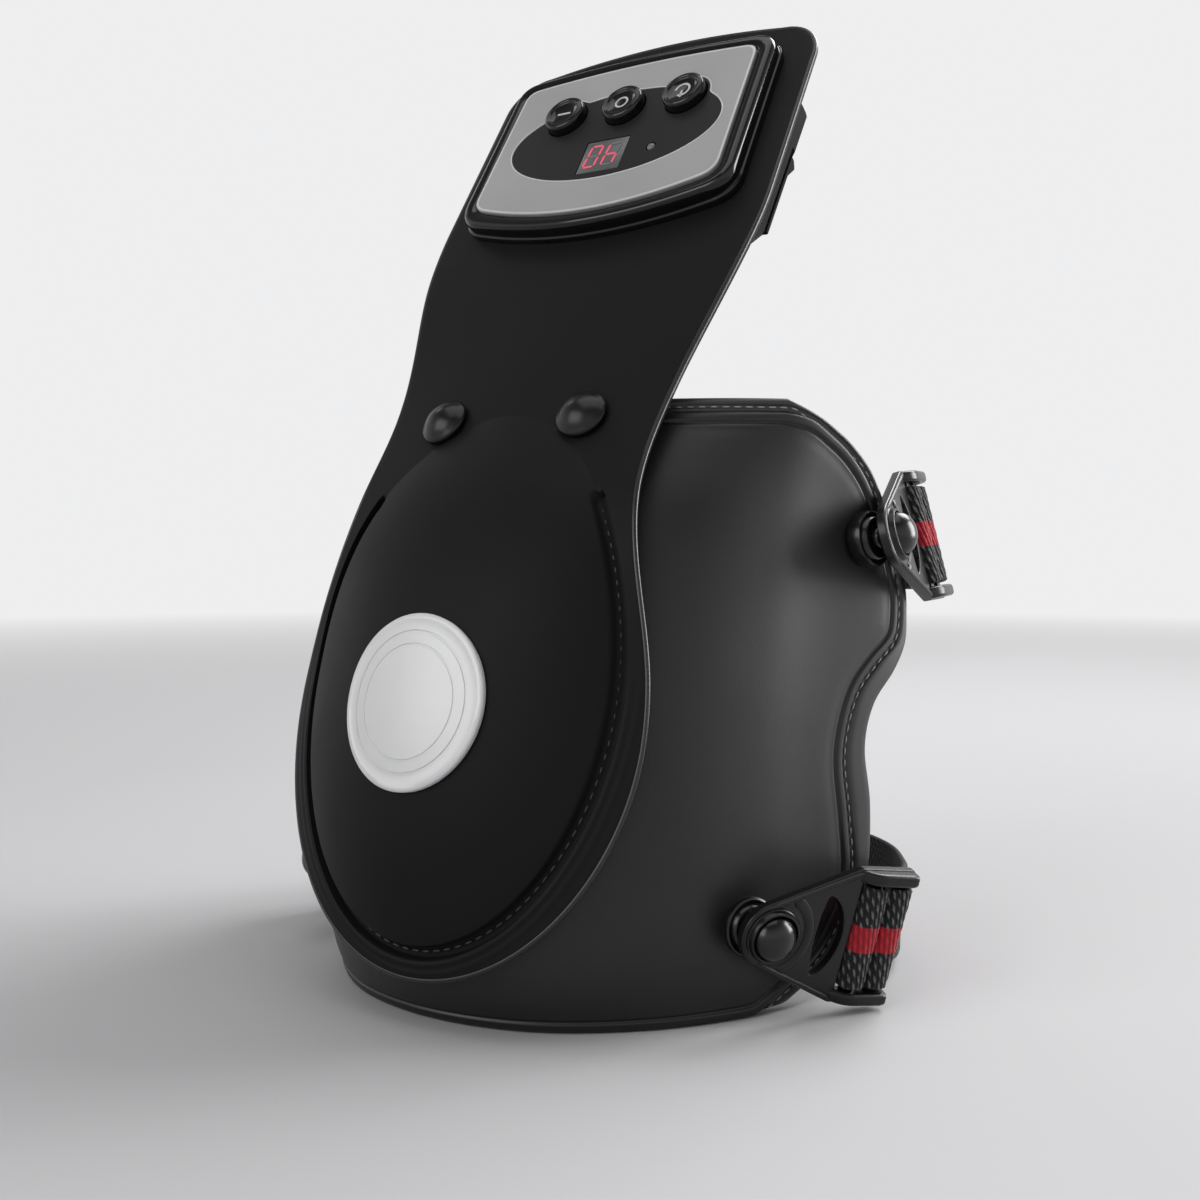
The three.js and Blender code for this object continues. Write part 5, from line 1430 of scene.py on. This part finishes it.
@dataclass
class Buckle:
    """One ball stud with its triangular buckle and strap, drawn for the right side.

    Attributes:
        level: which strap it holds.
        station: the stud's place round the wrap.
        height: the stud's height.
        lean: how far the ball leans towards the buckle's own axis, from 0 to 1.
        along: the direction from the ball to the bars.
        bars: the direction of the bars.
        follow: how much the strap sets off along the buckle.
        back: the strap's half width, where its bend begins, how far back it reaches, and its height.
        wrap: the wrap's form.
        slots: where the two slots between the bars begin and end.
        strap_start: where the strap leaves the outer bar, along the buckle and out of it.
        cuts: the shares of its length at which the strap is cut into near, far and rear.
        bends: shares of the strap's line given with the near and the far length; nothing bends there.
    """

    level: Level
    station: float
    height: float
    lean: float
    along: Triple
    bars: Triple
    follow: float
    back: tuple[float, float, float, float]
    wrap: WrapForm
    webbing: Webbing = field(default_factory=Webbing)
    standoff: float = 11.4
    ball: float = 6.45
    flat: float = 0.74
    base_radius: float = 8.2
    ring_radius: float = 9.6
    top: float = -0.9
    foot: float = -3.7
    half_width: float = 20.5
    bar_half: float = 17.4
    slots: tuple[Pair, Pair] = ((25.4, 28.4), (32.0, 36.8))
    shoulder: float = 25.0
    reach: float = 43.0
    strap_start: Pair = (41.5, -5.8)
    cuts: tuple[float, ...] = (0.0, 0.38, 0.783, 1.0)
    bends: tuple[float, ...] = (0.0, 0.34, 0.42, 0.76)

    def __post_init__(self) -> None:
        """Works out the buckle's frame on the wrap."""
        self.e1 = Vector(self.along).normalized()
        self.e3 = self.e1.cross(Vector(self.bars)).normalized()
        self.e2 = self.e3.cross(self.e1).normalized()
        self.seat = self.wrap.face(self.station, self.height)
        surface = self.wrap.normal(self.station, self.height)
        self.axis = surface.lerp(self.e3, self.lean).normalized()
        self.lift = self.base_radius * sin(self.axis.angle(surface))
        self.centre = self.seat + self.axis * self.standoff
        opening = atan2(self.half_width - self.ring_radius, self.shoulder)
        self.shoulder_angle = pi / 2 + opening * 0.9
        self.line = self._band_line()

    def put(self, p: Vector) -> Vector:
        """The place of a point given in the buckle's frame."""
        return self.centre + self.e1 * p.x + self.e2 * p.y + self.e3 * p.z

    def stud(self) -> Draft:
        """The stud: a ringed base, a post and a ball."""
        base, post = self.lift + 0.3, 2.6
        rings = [(8.5, -0.2), (8.3, 0.35), (7.8, 0.62), (7.3, 0.5), (7.05, 0.22), (6.75, 0.22), (6.5, 0.6),
                 (6.3, 1.35), (5.9, 1.72), (5.3, 1.8), (4.4, 1.5), (3.7, 1.45), (3.1, 1.8), (post, 2.4)]
        start = degrees(asin(post / self.ball)) - 90
        ball = [(r, h * (1 if h < 0 else self.flat)) for r, h in arc((self.ball, self.ball), start, 90, 20)]
        profile = [(0.0, -1.2), (8.3, -1.2), (8.5, -0.6)] + [(r, base + h) for r, h in rings]
        profile += [(r, self.standoff + h) for r, h in [*ball[:-1], (0.0, ball[-1][1])]]
        return lathe(profile, 48).moved(stood(self.axis, self.seat))

    def _outline(self) -> list[Pair]:
        """The frame's outline: round the ball, out to the shoulders and round the bars."""
        start = degrees(self.shoulder_angle)
        half, inner, end = self.half_width, self.bar_half, 40.4
        side = [(self.shoulder - 1.2, half - 0.15), (self.shoulder, half), (self.shoulder + 1.5, half),
                (self.reach - 1, half), (self.reach, half - 1), (self.reach, inner), (end + 0.5, inner),
                (end, inner - 0.5)]
        around = arc((self.ring_radius, self.ring_radius), start, 360 - start, 28)
        return around + [(x, -y) for x, y in side] + side[::-1]

    def _crescent(self) -> list[Pair]:
        """The crescent opening beside the ball."""
        tip = 12.5
        legs = [((14, 0), (14.2, tip * 0.6), (15.6, tip)), ((15.6, tip), (22.4, tip * 0.8), (23, 0)),
                ((23, 0), (22.4, -tip * 0.8), (15.6, -tip)), ((15.6, -tip), (14.2, -tip * 0.6), (14, 0))]
        return smoothed([p for leg in legs for p in bent(*leg, 14)], 2)

    def frame(self) -> Draft:
        """The buckle's frame with its collar, beads, bars and two raised ears."""
        slots = [rect(left, -self.bar_half, right, self.bar_half) for left, right in self.slots]
        holes = [oval((0, 0), 6.6, 40), self._crescent(), *slots]
        draft = slab(self._outline(), holes, self.foot, self.top, 0.5, hole_bevel=0.45)
        collar = [(6.55, -0.6), (6.62, 1.5), (6.8, 1.85), (7.1, 1.95), (7.4, 1.8), (7.6, 1.4), (7.8, 0.45),
                  (8.1, 0.2), (8.7, 0.3), (9.1, 0.13), (9.25, -0.4), (6.55, -0.6)]
        draft.join(lathe([(r, self.top + h) for r, h in collar], 56))
        ear = [(23.2, -3.7), (24.0, -3.9), (40.6, -3.9), (41.9, -3.5), (42.7, -2.4), (42.9, -0.6),
               (42.6, 1.0), (41.8, 2.2), (40.2, 2.7), (30.5, 2.6), (28.0, 2.1), (26.0, 1.0), (24.2, -0.6),
               (23.2, -1.8)]
        lug = slab(ear, [], 16.5, 20.2, 1.15, steps=4)
        for side in (1, -1):
            x, y = 8.7 * cos(self.shoulder_angle), 8.7 * sin(self.shoulder_angle)
            start = Vector((x, side * y, self.top + 0.1))
            end = Vector((self.shoulder + 0.5, side * (self.half_width - 0.9), self.top + 0.1))
            draft.join(swept([start.lerp(end, i / 12) for i in range(13)], 0.72, 10, 0.9))
            draft.join(lug.moved(lambda p, s=side: Vector((p.x, p.z * s, p.y))))
        web = [Vector((x, y, self.top - 0.25)) for x, y in arc((11.6, 11.6), -68, 68, 24)]
        draft.join(swept(web, 1.7, 14, 0.55))
        return draft.moved(self.put)

    def loop(self) -> Draft:
        """The webbing over both bars."""
        corners = [(27.2, -4.5), (26.95, -2.6), (27.1, -0.9), (27.9, 0.3), (29.3, 0.95), (30.7, 1.05),
                   (32.1, 0.8), (33.3, 0.05), (34.0, -1.2), (34.35, -2.4), (34.7, -1.2), (35.4, 0.05),
                   (36.7, 0.8), (38.2, 1.05), (39.6, 0.95), (40.9, 0.3), (41.75, -0.9), (41.95, -2.6),
                   (41.7, -4.9)]
        line = ThroughLine([Vector((x, 0, z)) for x, z in corners], 900)
        rows = []
        steps = round(line.length / self.webbing.step)
        for share in (i / steps for i in range(steps + 1)):
            along = line.tangent(share)
            outward = Vector((-along.z, 0, along.x))
            rows.append((line.along(share), Vector((0, 1, 0)), outward, line.length * share))
        return self.webbing.sheet(rows, thin_ends=True).moved(self.put)

    def _band_line(self) -> ThroughLine:
        """The strap's line from the outer bar round the back to the middle."""
        start = self.put(Vector((self.strap_start[0], 0, self.strap_start[1])))
        heading = (self.e1 * self.follow - self.e3).normalized()
        half, begin, reach, height = self.back
        bend = arc((half, reach - begin), 0, 90, 5, (0, begin))
        drops = [height + (start.z - height) * (1 - i / 5) ** 2 for i in range(6)]
        points = [Vector((x, y, z)) for (x, y), z in zip(bend, drops)]
        return ThroughLine([start, start + heading * 7, *points[1:]], 900)

    def strap(self, start: float, end: float) -> Draft:
        """A length of the strap between two shares of its line."""
        rows = []
        steps = round(self.line.length * (end - start) / self.webbing.step)
        for t in (start + (end - start) * i / steps for i in range(steps + 1)):
            up = self.e2.lerp(Vector((0, 0, 1)), smooth_step(0, 0.35, t)).normalized()
            outward = self.line.tangent(t).cross(up).normalized()
            rows.append((self.line.along(t), up, outward, self.line.length * t + 40))
        return self.webbing.sheet(rows)

    def build(self) -> None:
        """Makes and dresses both sides, and the rear length that joins them."""
        word = self.level.value
        stud, frame, loop = self.stud(), self.frame(), self.loop()
        lengths = [self.strap(*shares) for shares in zip(self.cuts, self.cuts[1:])]
        marks = [self.line.along(t) for t in self.bends]
        for side in Side:
            name = f"{word}_{side.word}"
            buckle, wing = f"buckle_{name}", f"wing_{side.word}"
            seat(stud.on(side).make(f"ball_stud_{name}", STUD_GLOSS, 40), wing, f"stud_{name}")
            plate = frame.on(side).make(f"buckle_frame_{name}", BUCKLE_BLACK, 32, weighted=True)
            seat(plate, buckle, buckle)
            seat(loop.on(side).make(f"webbing_loop_{name}", WEBBING, 80), buckle, f"strap_loop_{name}")
            ends = [place_m(side.turn(p)) for p in marks]
            near = lengths[0].on(side).make(f"strap_near_{name}", WEBBING, 80)
            joins(near, (buckle, wing), ends[:2], f"strap_side_{name}")
            far = lengths[1].on(side).make(f"strap_far_{name}", WEBBING, 80)
            joins(far, (wing, "front"), ends[2:], f"strap_side_{name}")
        rear = lengths[2]
        rear.join(rear.on(Side.LEFT))
        seat(rear.make(f"strap_back_{word}", WEBBING, 80), "front", f"strap_rear_{word}")
        LOG.info("%s buckles and strap built", word)


@dataclass
class ControlBox:
    """The control box on the neck: bezel, plate, inset, buttons, display and lamp."""

    top: float = 130.45
    foot: float = 71.6
    half_top: float = 45.7
    half_bottom: float = 46.9
    bow: float = 3.0
    sag: float = 6.6
    button_line: float = 110.2
    button_places: Triple = (-21.7, 1.5, 24.7)
    button_radius: float = 7.4
    cap_rise: float = 3.6
    inset_centre: Pair = (0.45, 98.6)
    inset_half: Pair = (40.2, 19.3)
    display_centre: float = 89.3
    display_size: Pair = (16.6, 14.4)
    display_gap: float = 0.15
    lamp_place: Pair = (18.4, 89.3)
    plate_front: float = 7.6

    def barrel(self, grow: float) -> list[Pair]:
        """The bowed outline, moved out by a growth, always with the same count of points."""
        top, foot = self.top + grow, self.foot - grow
        wide, low = self.half_top + grow, self.half_bottom + grow
        r, drop = 5 + grow / 2, self.bow
        turn = foot + 2 * self.sag * r / (low - r)
        side, shoulder = top - r - drop * 0.6, top - drop * 0.3
        legs = [
            ((-low + r, foot), (0, foot - 2 * self.sag), (low - r, foot), 28),
            ((low - r, foot), (low, turn), (low, turn + r), 10),
            ((low, turn + r), None, (wide, side), 8),
            ((wide, side), (wide, top - drop * 0.4), (wide - r, shoulder), 10),
            ((wide - r, shoulder), (0, top + drop), (-wide + r, shoulder), 28),
            ((-wide + r, shoulder), (-wide, top - drop * 0.4), (-wide, side), 10),
            ((-wide, side), None, (-low, turn + r), 8),
            ((-low, turn + r), (-low, turn), (-low + r, foot), 10),
        ]
        return [p for leg in legs for p in bent(*leg)]

    def _union(self, grow: float, count: int = 260) -> list[Pair]:
        """Outline of the inset joined with the rings round the buttons."""
        cx, cz = self.inset_centre
        half_w, half_h = self.inset_half[0] + grow, self.inset_half[1] + grow
        radius = self.button_radius + 1.0 + grow
        loop = []
        for c, s in oval((0, 0), 1.0, count):
            reach = 1 / hypot(c / half_w, s / half_h)
            for x in self.button_places:
                dx, dz = x - cx, self.button_line - cz
                along = dx * c + dz * s
                away = dx * dx + dz * dz - along * along
                if away < radius * radius and along > 0:
                    reach = max(reach, along + sqrt(radius * radius - away))
            loop.append((cx + reach * c, cz + reach * s))
        return smoothed(loop, 1)

    def bezel(self) -> Draft:
        """The glossy frame: foot, stepped wall, rounded edge and a slope down to the plate."""
        profile = [(4.6, -0.4), (5.8, -0.4), (5.8, 1.9), (5.72, 2.1), (5.3, 2.25), (5.2, 2.45), (5.2, 3.2),
                   (5.1, 4.6), (4.95, 5.6), (4.7, 6.3), (4.3, 6.85), (3.8, 7.12), (3.3, 7.2), (0.75, 6.75),
                   (0.45, 6.6), (0.32, 6.3), (0.3, 5.9), (-2.4, 5.9), (-2.4, -0.4)]
        rings = [[Vector((x, z, level)) for x, z in self.barrel(grow)] for grow, level in profile]
        return Draft().loft(rings, looped=True)

    def inset(self) -> Draft:
        """The dark inset, with openings for the display, the lamp and the buttons."""
        w, h = self.display_size[0] / 2, self.display_size[1] / 2
        window = rect(-w, self.display_centre - h, w, self.display_centre + h)
        wells = [oval((x, self.button_line), self.button_radius + 0.35, 40) for x in self.button_places]
        holes = [window, oval(self.lamp_place, 1.8, 20), *wells]
        return slab(self._union(0.2), holes, 5.8, self.plate_front - 0.12, 0.15, steps=2)

    def button(self) -> Draft:
        """A dished cap with a rounded ring rim."""
        r, top = self.button_radius, self.plate_front + self.cap_rise
        rim = [(0, -1.5), (-0.06, -1.1), (-0.25, -0.6), (-0.6, -0.22), (-1.1, -0.04), (-1.55, -0.08),
               (-1.9, -0.3), (-2.1, -0.62), (-2.35, -0.8)]
        stem = [(0.0, -1.0), (6.2, -1.0), (6.4, -0.6), (6.4, 4.6), (r + 0.9, 4.8), (r + 0.9, 5.6), (r, 5.8)]
        profile = stem + [(r + x, top + z) for x, z in rim]
        profile += [(3.6, top - 0.95), (1.8, top - 1.05), (0.0, top - 1.08)]
        return lathe(profile, 56)

    def symbol(self, name: str) -> Draft:
        """A plain printed symbol on a cap: a bar, a ring, or a bar within an open ring."""
        level = self.plate_front + self.cap_rise - 1.02
        if name == "down":
            return slab(rect(-2.6, -0.42, 2.6, 0.42), [], level - 0.3, level + 0.14, 0.08, 1)
        if name == "mode":
            return slab(oval((0, 0), 2.5, 36), [oval((0, 0), 1.75, 36)], level - 0.3, level + 0.12, 0.06, 1)
        start = degrees(0.51) - 148
        outer, inner = (arc((r, r), start, start + 296, 30) for r in (2.9, 2.1))
        draft = slab(outer + inner[::-1], [], level - 0.3, level + 0.16, 0.06, 1)
        draft.join(slab(rect(-0.4, -3.4, 0.4, -0.4), [], level - 0.3, level + 0.16, 0.06, 1))
        return draft

    def digits(self, lit: bool) -> Draft:
        """The bars of the display's digits that glow, or those that don't, read from above the knee."""
        shown = {"4": "bcfg", "0": "abcdef"}
        wide, tall, bar, gap, slant, spacing = 4.3, 9.2, 0.85, 0.24, 0.11, 7.0
        bars = {
            "a": ((gap, tall), (wide - gap, tall)), "g": ((gap, tall / 2), (wide - gap, tall / 2)),
            "d": ((gap, 0.0), (wide - gap, 0.0)), "f": ((0.0, tall / 2 + gap), (0.0, tall - gap)),
            "b": ((wide, tall / 2 + gap), (wide, tall - gap)), "e": ((0.0, gap), (0.0, tall / 2 - gap)),
            "c": ((wide, gap), (wide, tall / 2 - gap)),
        }
        draft = Draft()
        for number, digit in enumerate("40"):
            left = -5.9 + number * spacing
            for a, b in (map(Vector, ends) for key, ends in bars.items() if (key in shown[digit]) == lit):
                tip = (b - a).normalized() * bar / 2
                side = Vector((-tip.y, tip.x))
                loop = [a, a + tip - side, b - tip - side, b, b - tip + side, a + tip + side]
                outline = [(left + p.x + slant * p.y, p.y - tall / 2) for p in loop]
                draft.join(slab(outline, [], 7.26, 7.46, 0.03, 1))
        return draft.moved(lambda p: Vector((-p.x, -p.y, p.z)))

    def build(self) -> None:
        """Makes and dresses the box."""

        def make(draft: Draft, name: str, finish: Finish, angle: float, x: float = 0.0, z: float = 0.0,
                 weighted: bool = False) -> Piece:
            """Makes a piece whose draft lies across, up the neck from a place, and forward of the panel."""
            lying = draft.moved(lambda p: neck_at(x + p.x, -p.z, z + p.y))
            return lying.make(name, finish, angle, weighted)

        front, middle = self.plate_front, self.display_centre
        w, h = (size / 2 - self.display_gap for size in self.display_size)
        screen = slab(rect(-w, -h, w, h), [], 3.0, 7.3, 0.2, 2)
        plate = slab(self.barrel(0.0), [self._union(0.35)], 6.0, front, 0.3)
        line = slab(self._union(0.75), [self._union(0.25)], 7.2, front + 0.1, 0.1, steps=2)
        border = slab(self.barrel(-0.25), [self.barrel(-0.95)], 7.2, front + 0.08, 0.1, steps=2)
        lamp = lathe([(0.0, -2.2), (1.45, -2.2), (1.5, 7.1), (1.35, 7.45), (1.0, 7.75), (0.5, 7.92),
                      (0.0, 7.98)], 24)
        made = [
            (make(self.bezel(), "bezel_frame", GLOSS, 50), "controller_bezel"),
            (make(plate, "plate_face", PLATE, 40, weighted=True), "face_plate"),
            (make(line, "inset_line", PLATE_LINE, 60), "face_plate"),
            (make(border, "plate_border", PLATE_LINE, 60), "face_plate"),
            (make(self.inset(), "inset_face", INSET, 40, weighted=True), "control_inset"),
            (make(screen, "display_body", DISPLAY_FACE, 40, z=middle), "display_module"),
            (make(self.digits(True), "display_digits_lit", DIGITS, 40, z=middle), "display_module"),
            (make(self.digits(False), "display_digits_dark", DIGITS_OFF, 40, z=middle), "display_module"),
            (make(lamp, "lamp_dome", LAMP, 50, *self.lamp_place), "status_lamp"),
        ]
        for piece, node in made:
            seat(piece, "neck", node)
        for name, x in zip(("down", "mode", "start"), self.button_places):
            cap = make(self.button(), f"cap_{name}", BUTTON, 40, x, self.button_line)
            sign = make(self.symbol(name), f"cap_symbol_{name}", PRINT, 40, x, self.button_line)
            for piece in (cap, sign):
                seat(piece, f"button_{name}", f"button_{name}")
        LOG.info("control box built")


@dataclass
class Rear:
    """The rear housing, its cover and screws, and everything inside."""

    half_width: float = 49.0
    slot_heights: Pair = (103.4, 107.0)
    slot_depth: Pair = (12.5, 19.5)
    slot_half: float = 0.7

    def refine(self, node: str, name: str, bevel: float, body: str) -> None:
        """Copies a solid with its edges rounded.

        Args:
            node: the solid's name.
            name: the new piece's name.
            bevel: the radius of its edges.
            body: the body it rides on.
        """
        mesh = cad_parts[node].data.copy()
        mesh.name = name
        turn_out(mesh, merge=True)
        piece = finished(name, mesh, HOUSING, 30)
        edge = piece.modifiers.new("rounding", "BEVEL")
        edge.width = bevel * MM
        edge.segments = 3
        edge.limit_method = "ANGLE"
        edge.angle_limit = radians(30)
        edge.use_clamp_overlap = True
        seat(evened(piece), body, node)

    def dress(self, node: str, finish: Finish) -> None:
        """Gives a kept solid its material."""
        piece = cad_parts[node]
        if not piece.material_slots:
            piece.data.materials.append(None)
        for entry in piece.material_slots:
            entry.link = "OBJECT"
            entry.material = finish.material()

    def slots(self) -> Draft:
        """Painted shade for the two small vent slots on both sides of the housing: thin dark bars standing
        just proud of its wall.
        """
        draft = Draft()
        near, far = self.slot_depth
        for side in Side:
            for height in self.slot_heights:
                outline = rect(near, height - self.slot_half, far, height + self.slot_half)
                bar = slab(outline, [], self.half_width - 0.6, self.half_width + 0.08, 0.05, 1)
                draft.join(bar.moved(lambda p, s=side.value: neck_at(p.z * s, p.x, p.y)))
        return draft

    def build(self) -> None:
        """Dresses the rear and the inner pieces."""
        self.refine("rear_housing", "housing_shell", 0.7, "neck")
        # painted shade: dark bars in place of the vent slots
        seat(self.slots().make("housing_slot_shade", SLOT_SHADE, 40), "neck")
        self.refine("battery_cover", "cover_shell", 0.5, "battery_cover")
        looks = {
            "circuit_board": BOARD, "display_socket": SWITCH, "battery_pack": BATTERY,
            "charging_socket": SWITCH, "motor_cradle": CRADLE, "heating_pad_centre": FILM,
        }
        looks |= {f"tactile_switch_{name}": SWITCH for name in ("down", "mode", "start")}
        paired = {"housing_screw": SCREW, "motor": MOTOR, "motor_weight": BRASS, "heating_pad": FILM}
        looks |= {f"{node}_{side.word}": finish for side in Side for node, finish in paired.items()}
        for node, finish in looks.items():
            self.dress(node, finish)
        LOG.info("rear and inner pieces dressed")


@dataclass
class NeckCable:
    """The flat cable down the neck's back into the wrap."""

    wrap: WrapForm
    width: float = 8.0
    thickness: float = 1.0
    cores: int = 8
    level: float = 3.3
    steps: int = 90
    bends: Pair = (0.42, 0.6)

    def build(self) -> None:
        """Makes and dresses the cable."""
        places = [self.wrap.layer(0.0, z, 3.5) for z in (155, 163, 170, 176)]
        lifts = ((1.2, 6), (0.2, 14), (0.1, 26), (0.1, 40), (0.1, 58))
        places += [neck_at(0, self.level + lift, z) for lift, z in lifts]
        line = Spline([Vector((0, p.y, p.z)) for p in places])
        rings, columns = [], self.cores * 4
        for i in range(self.steps + 1):
            here, along = line.along(i / self.steps), line.tangent(i / self.steps, 0.5 / self.steps)
            back = Vector((0, along.z, -along.y))
            ring = []
            for side in (-1, 1):
                for k in range(columns + 1):
                    v = self.width * (k / columns - 0.5) * -side
                    ridge = 0.16 * abs(sin(pi * (v / self.width + 0.5) * self.cores))
                    inset = 0.35 if k in (0, columns) else 0.1
                    deep = ridge - inset if side > 0 else inset - ridge
                    if side > 0:
                        deep += self.thickness
                    ring.append(here + back * deep + Vector((v, 0, 0)))
            rings.append(ring)
        piece = Draft().loft(rings).make("neck_ribbon", CABLE, 60)
        joins(piece, ("front", "neck"), [place_m(line.at(t)) for t in self.bends], "neck_cable")
        LOG.info("neck cable built")


@dataclass
class Studio:
    """Floor, light and camera.

    Attributes:
        position: the camera's place in millimetres.
        azimuth: its heading in degrees.
        pitch: how far it looks down, in degrees.
        lens: its focal length.
        backdrop: colour of everything far away.
        reach: half of the floor's side in metres.
        lamps: name, place, goal, size and power of each soft lamp, in metres and watts.
    """

    position: Triple = (255.46, -382.007, 134.87)
    azimuth: float = 33.69
    pitch: float = 2.5
    lens: float = 42.0
    backdrop: Triple = (0.86, 0.86, 0.87)
    reach: float = 6.0
    lamps: tuple[tuple[str, Triple, Triple, Pair, float], ...] = (
        ("key_lamp", (0.98, 0.95, 0.5), (0.02, 0, 0.1), (0.6, 0.8), 16),
        ("front_lamp", (-0.5, -1.6, 0.9), (0, 0, 0.14), (1.3, 1.0), 12),
        ("top_lamp", (0.1, -0.1, 1.6), (0, 0, 0.1), (1.3, 1.3), 7),
        ("back_lamp", (0.25, 0.95, 1.1), (0, 0, 0.1), (0.7, 0.7), 13),
        ("strip_lamp", (-0.9, 0.05, 1.1), (0, 0, 0.25), (0.24, 0.24), 0.35),
    )

    def camera(self) -> None:
        """Places the camera where the photograph was taken from."""
        data = bpy.data.cameras.new("camera")
        data.lens, data.sensor_width, data.clip_start = self.lens, 36, 0.02
        camera = linked("camera", data)
        camera.location = [n * MM for n in self.position]
        camera.rotation_euler = (radians(90 - self.pitch), 0, radians(self.azimuth))
        bpy.context.scene.camera = camera

    def floor(self) -> None:
        """A plain pale floor, darker under the key lamp, that runs into the backdrop."""
        mesh = bpy.data.meshes.new("studio_floor")
        corners = rect(-self.reach, -self.reach, self.reach, self.reach)
        mesh.from_pydata([(x, y, 0) for x, y in corners], [], [(0, 1, 2, 3)])
        shader = Shader("studio_floor")
        pale = shader.ramp(shader.distance(shader.place, (0.95, 0.9, 0)), 0.2, 1.2, 0.0, 1.0)
        shader.set(Roughness=0.7, Specular_IOR_Level=0.1,
                   Base_Color=shader.mix(pale, (0.22, 0.22, 0.223), (0.52, 0.52, 0.53)))
        far = shader.ramp(shader.distance(shader.place, (0, 0, 0)), 0.45, 2.2, 0.0, 1.0)
        share = shader.math("MULTIPLY", shader.direct_rays(), far)
        glow = shader.node("ShaderNodeEmission", {"Color": (*self.backdrop, 1)}).outputs["Emission"]
        mixed = shader.node("ShaderNodeMixShader", {0: share, 1: shader.surface.outputs["BSDF"], 2: glow})
        shader.give(shader.tree.nodes["Material Output"].inputs["Surface"], mixed.outputs["Shader"])
        mesh.materials.append(shader.material)
        linked("studio_floor", mesh)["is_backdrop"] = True

    def lights(self) -> None:
        """Hangs the soft rectangular lamps."""
        for name, place, goal, size, power in self.lamps:
            data = bpy.data.lights.new(name, "AREA")
            data.shape, data.energy = "RECTANGLE", power
            data.size, data.size_y = size
            lamp = linked(name, data)
            lamp.location = place
            lamp.rotation_euler = (Vector(goal) - Vector(place)).to_track_quat("-Z", "Y").to_euler()

    def world(self) -> None:
        """A pale, even surrounding, darker overhead for what is seen and mirrored."""
        world = bpy.data.worlds.new("surrounding")
        bpy.context.scene.world = world
        world.use_nodes = True
        work = Nodes(world.node_tree)
        ground = work.tree.nodes["Background"]
        ground.inputs["Color"].default_value = (1, 1, 1, 1)
        ground.inputs["Strength"].default_value = 0.28
        place = work.node("ShaderNodeTexCoord").outputs["Generated"]
        height = work.node("ShaderNodeSeparateXYZ", {"Vector": place}).outputs["Z"]
        fade = work.ramp(height, 0.35, 0.75, 1.0, 0.2)
        seen = work.node("ShaderNodeBackground", {"Color": (*self.backdrop, 1), "Strength": fade})
        ends = {0: work.direct_rays(), 1: ground.outputs["Background"], 2: seen.outputs["Background"]}
        mixed = work.node("ShaderNodeMixShader", ends).outputs["Shader"]
        work.give(work.tree.nodes["World Output"].inputs["Surface"], mixed)

    def build(self) -> None:
        """Sets up the studio."""
        self.camera()
        self.floor()
        self.world()
        self.lights()
        bpy.context.scene.view_settings.view_transform = "Standard"


def write_sizes() -> None:
    """Gathers the CAD box and the visual model's box as plain lists."""

    def plain(box: Sequence[Sequence[float]]) -> list[list[float]]:
        """A box as plain lists."""
        return [[float(n) for n in corner] for corner in box]

    {"cad": plain(CAD_BOUNDS), "visual": plain(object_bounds())}


def main() -> None:
    """Builds the studio, then every sub-assembly."""
    logging.basicConfig(level=logging.INFO, format="%(name)s: %(message)s")
    wrap = Wrap()
    upper = ((-0.13, 0.991, 0), (-0.25, 0, 0.97), 2.2, (93, 56, 106, 132))
    lower = ((0.5, 0.85, -0.13), (0.33, 0.1, 0.93), 0.9, (99, 4, 104, 15.5))
    parts = [
        Studio(), FrontPanel(), wrap, Buckle(Level.UPPER, 137, 134.6, 0.5, *upper, wrap.form),
        Buckle(Level.LOWER, 95.8, 27, 0.1, *lower, wrap.form), ControlBox(), Rear(), NeckCable(wrap.form),
    ]
    for part in parts:
        part.build()
    write_sizes()


if __name__ == "__main__":
    main()
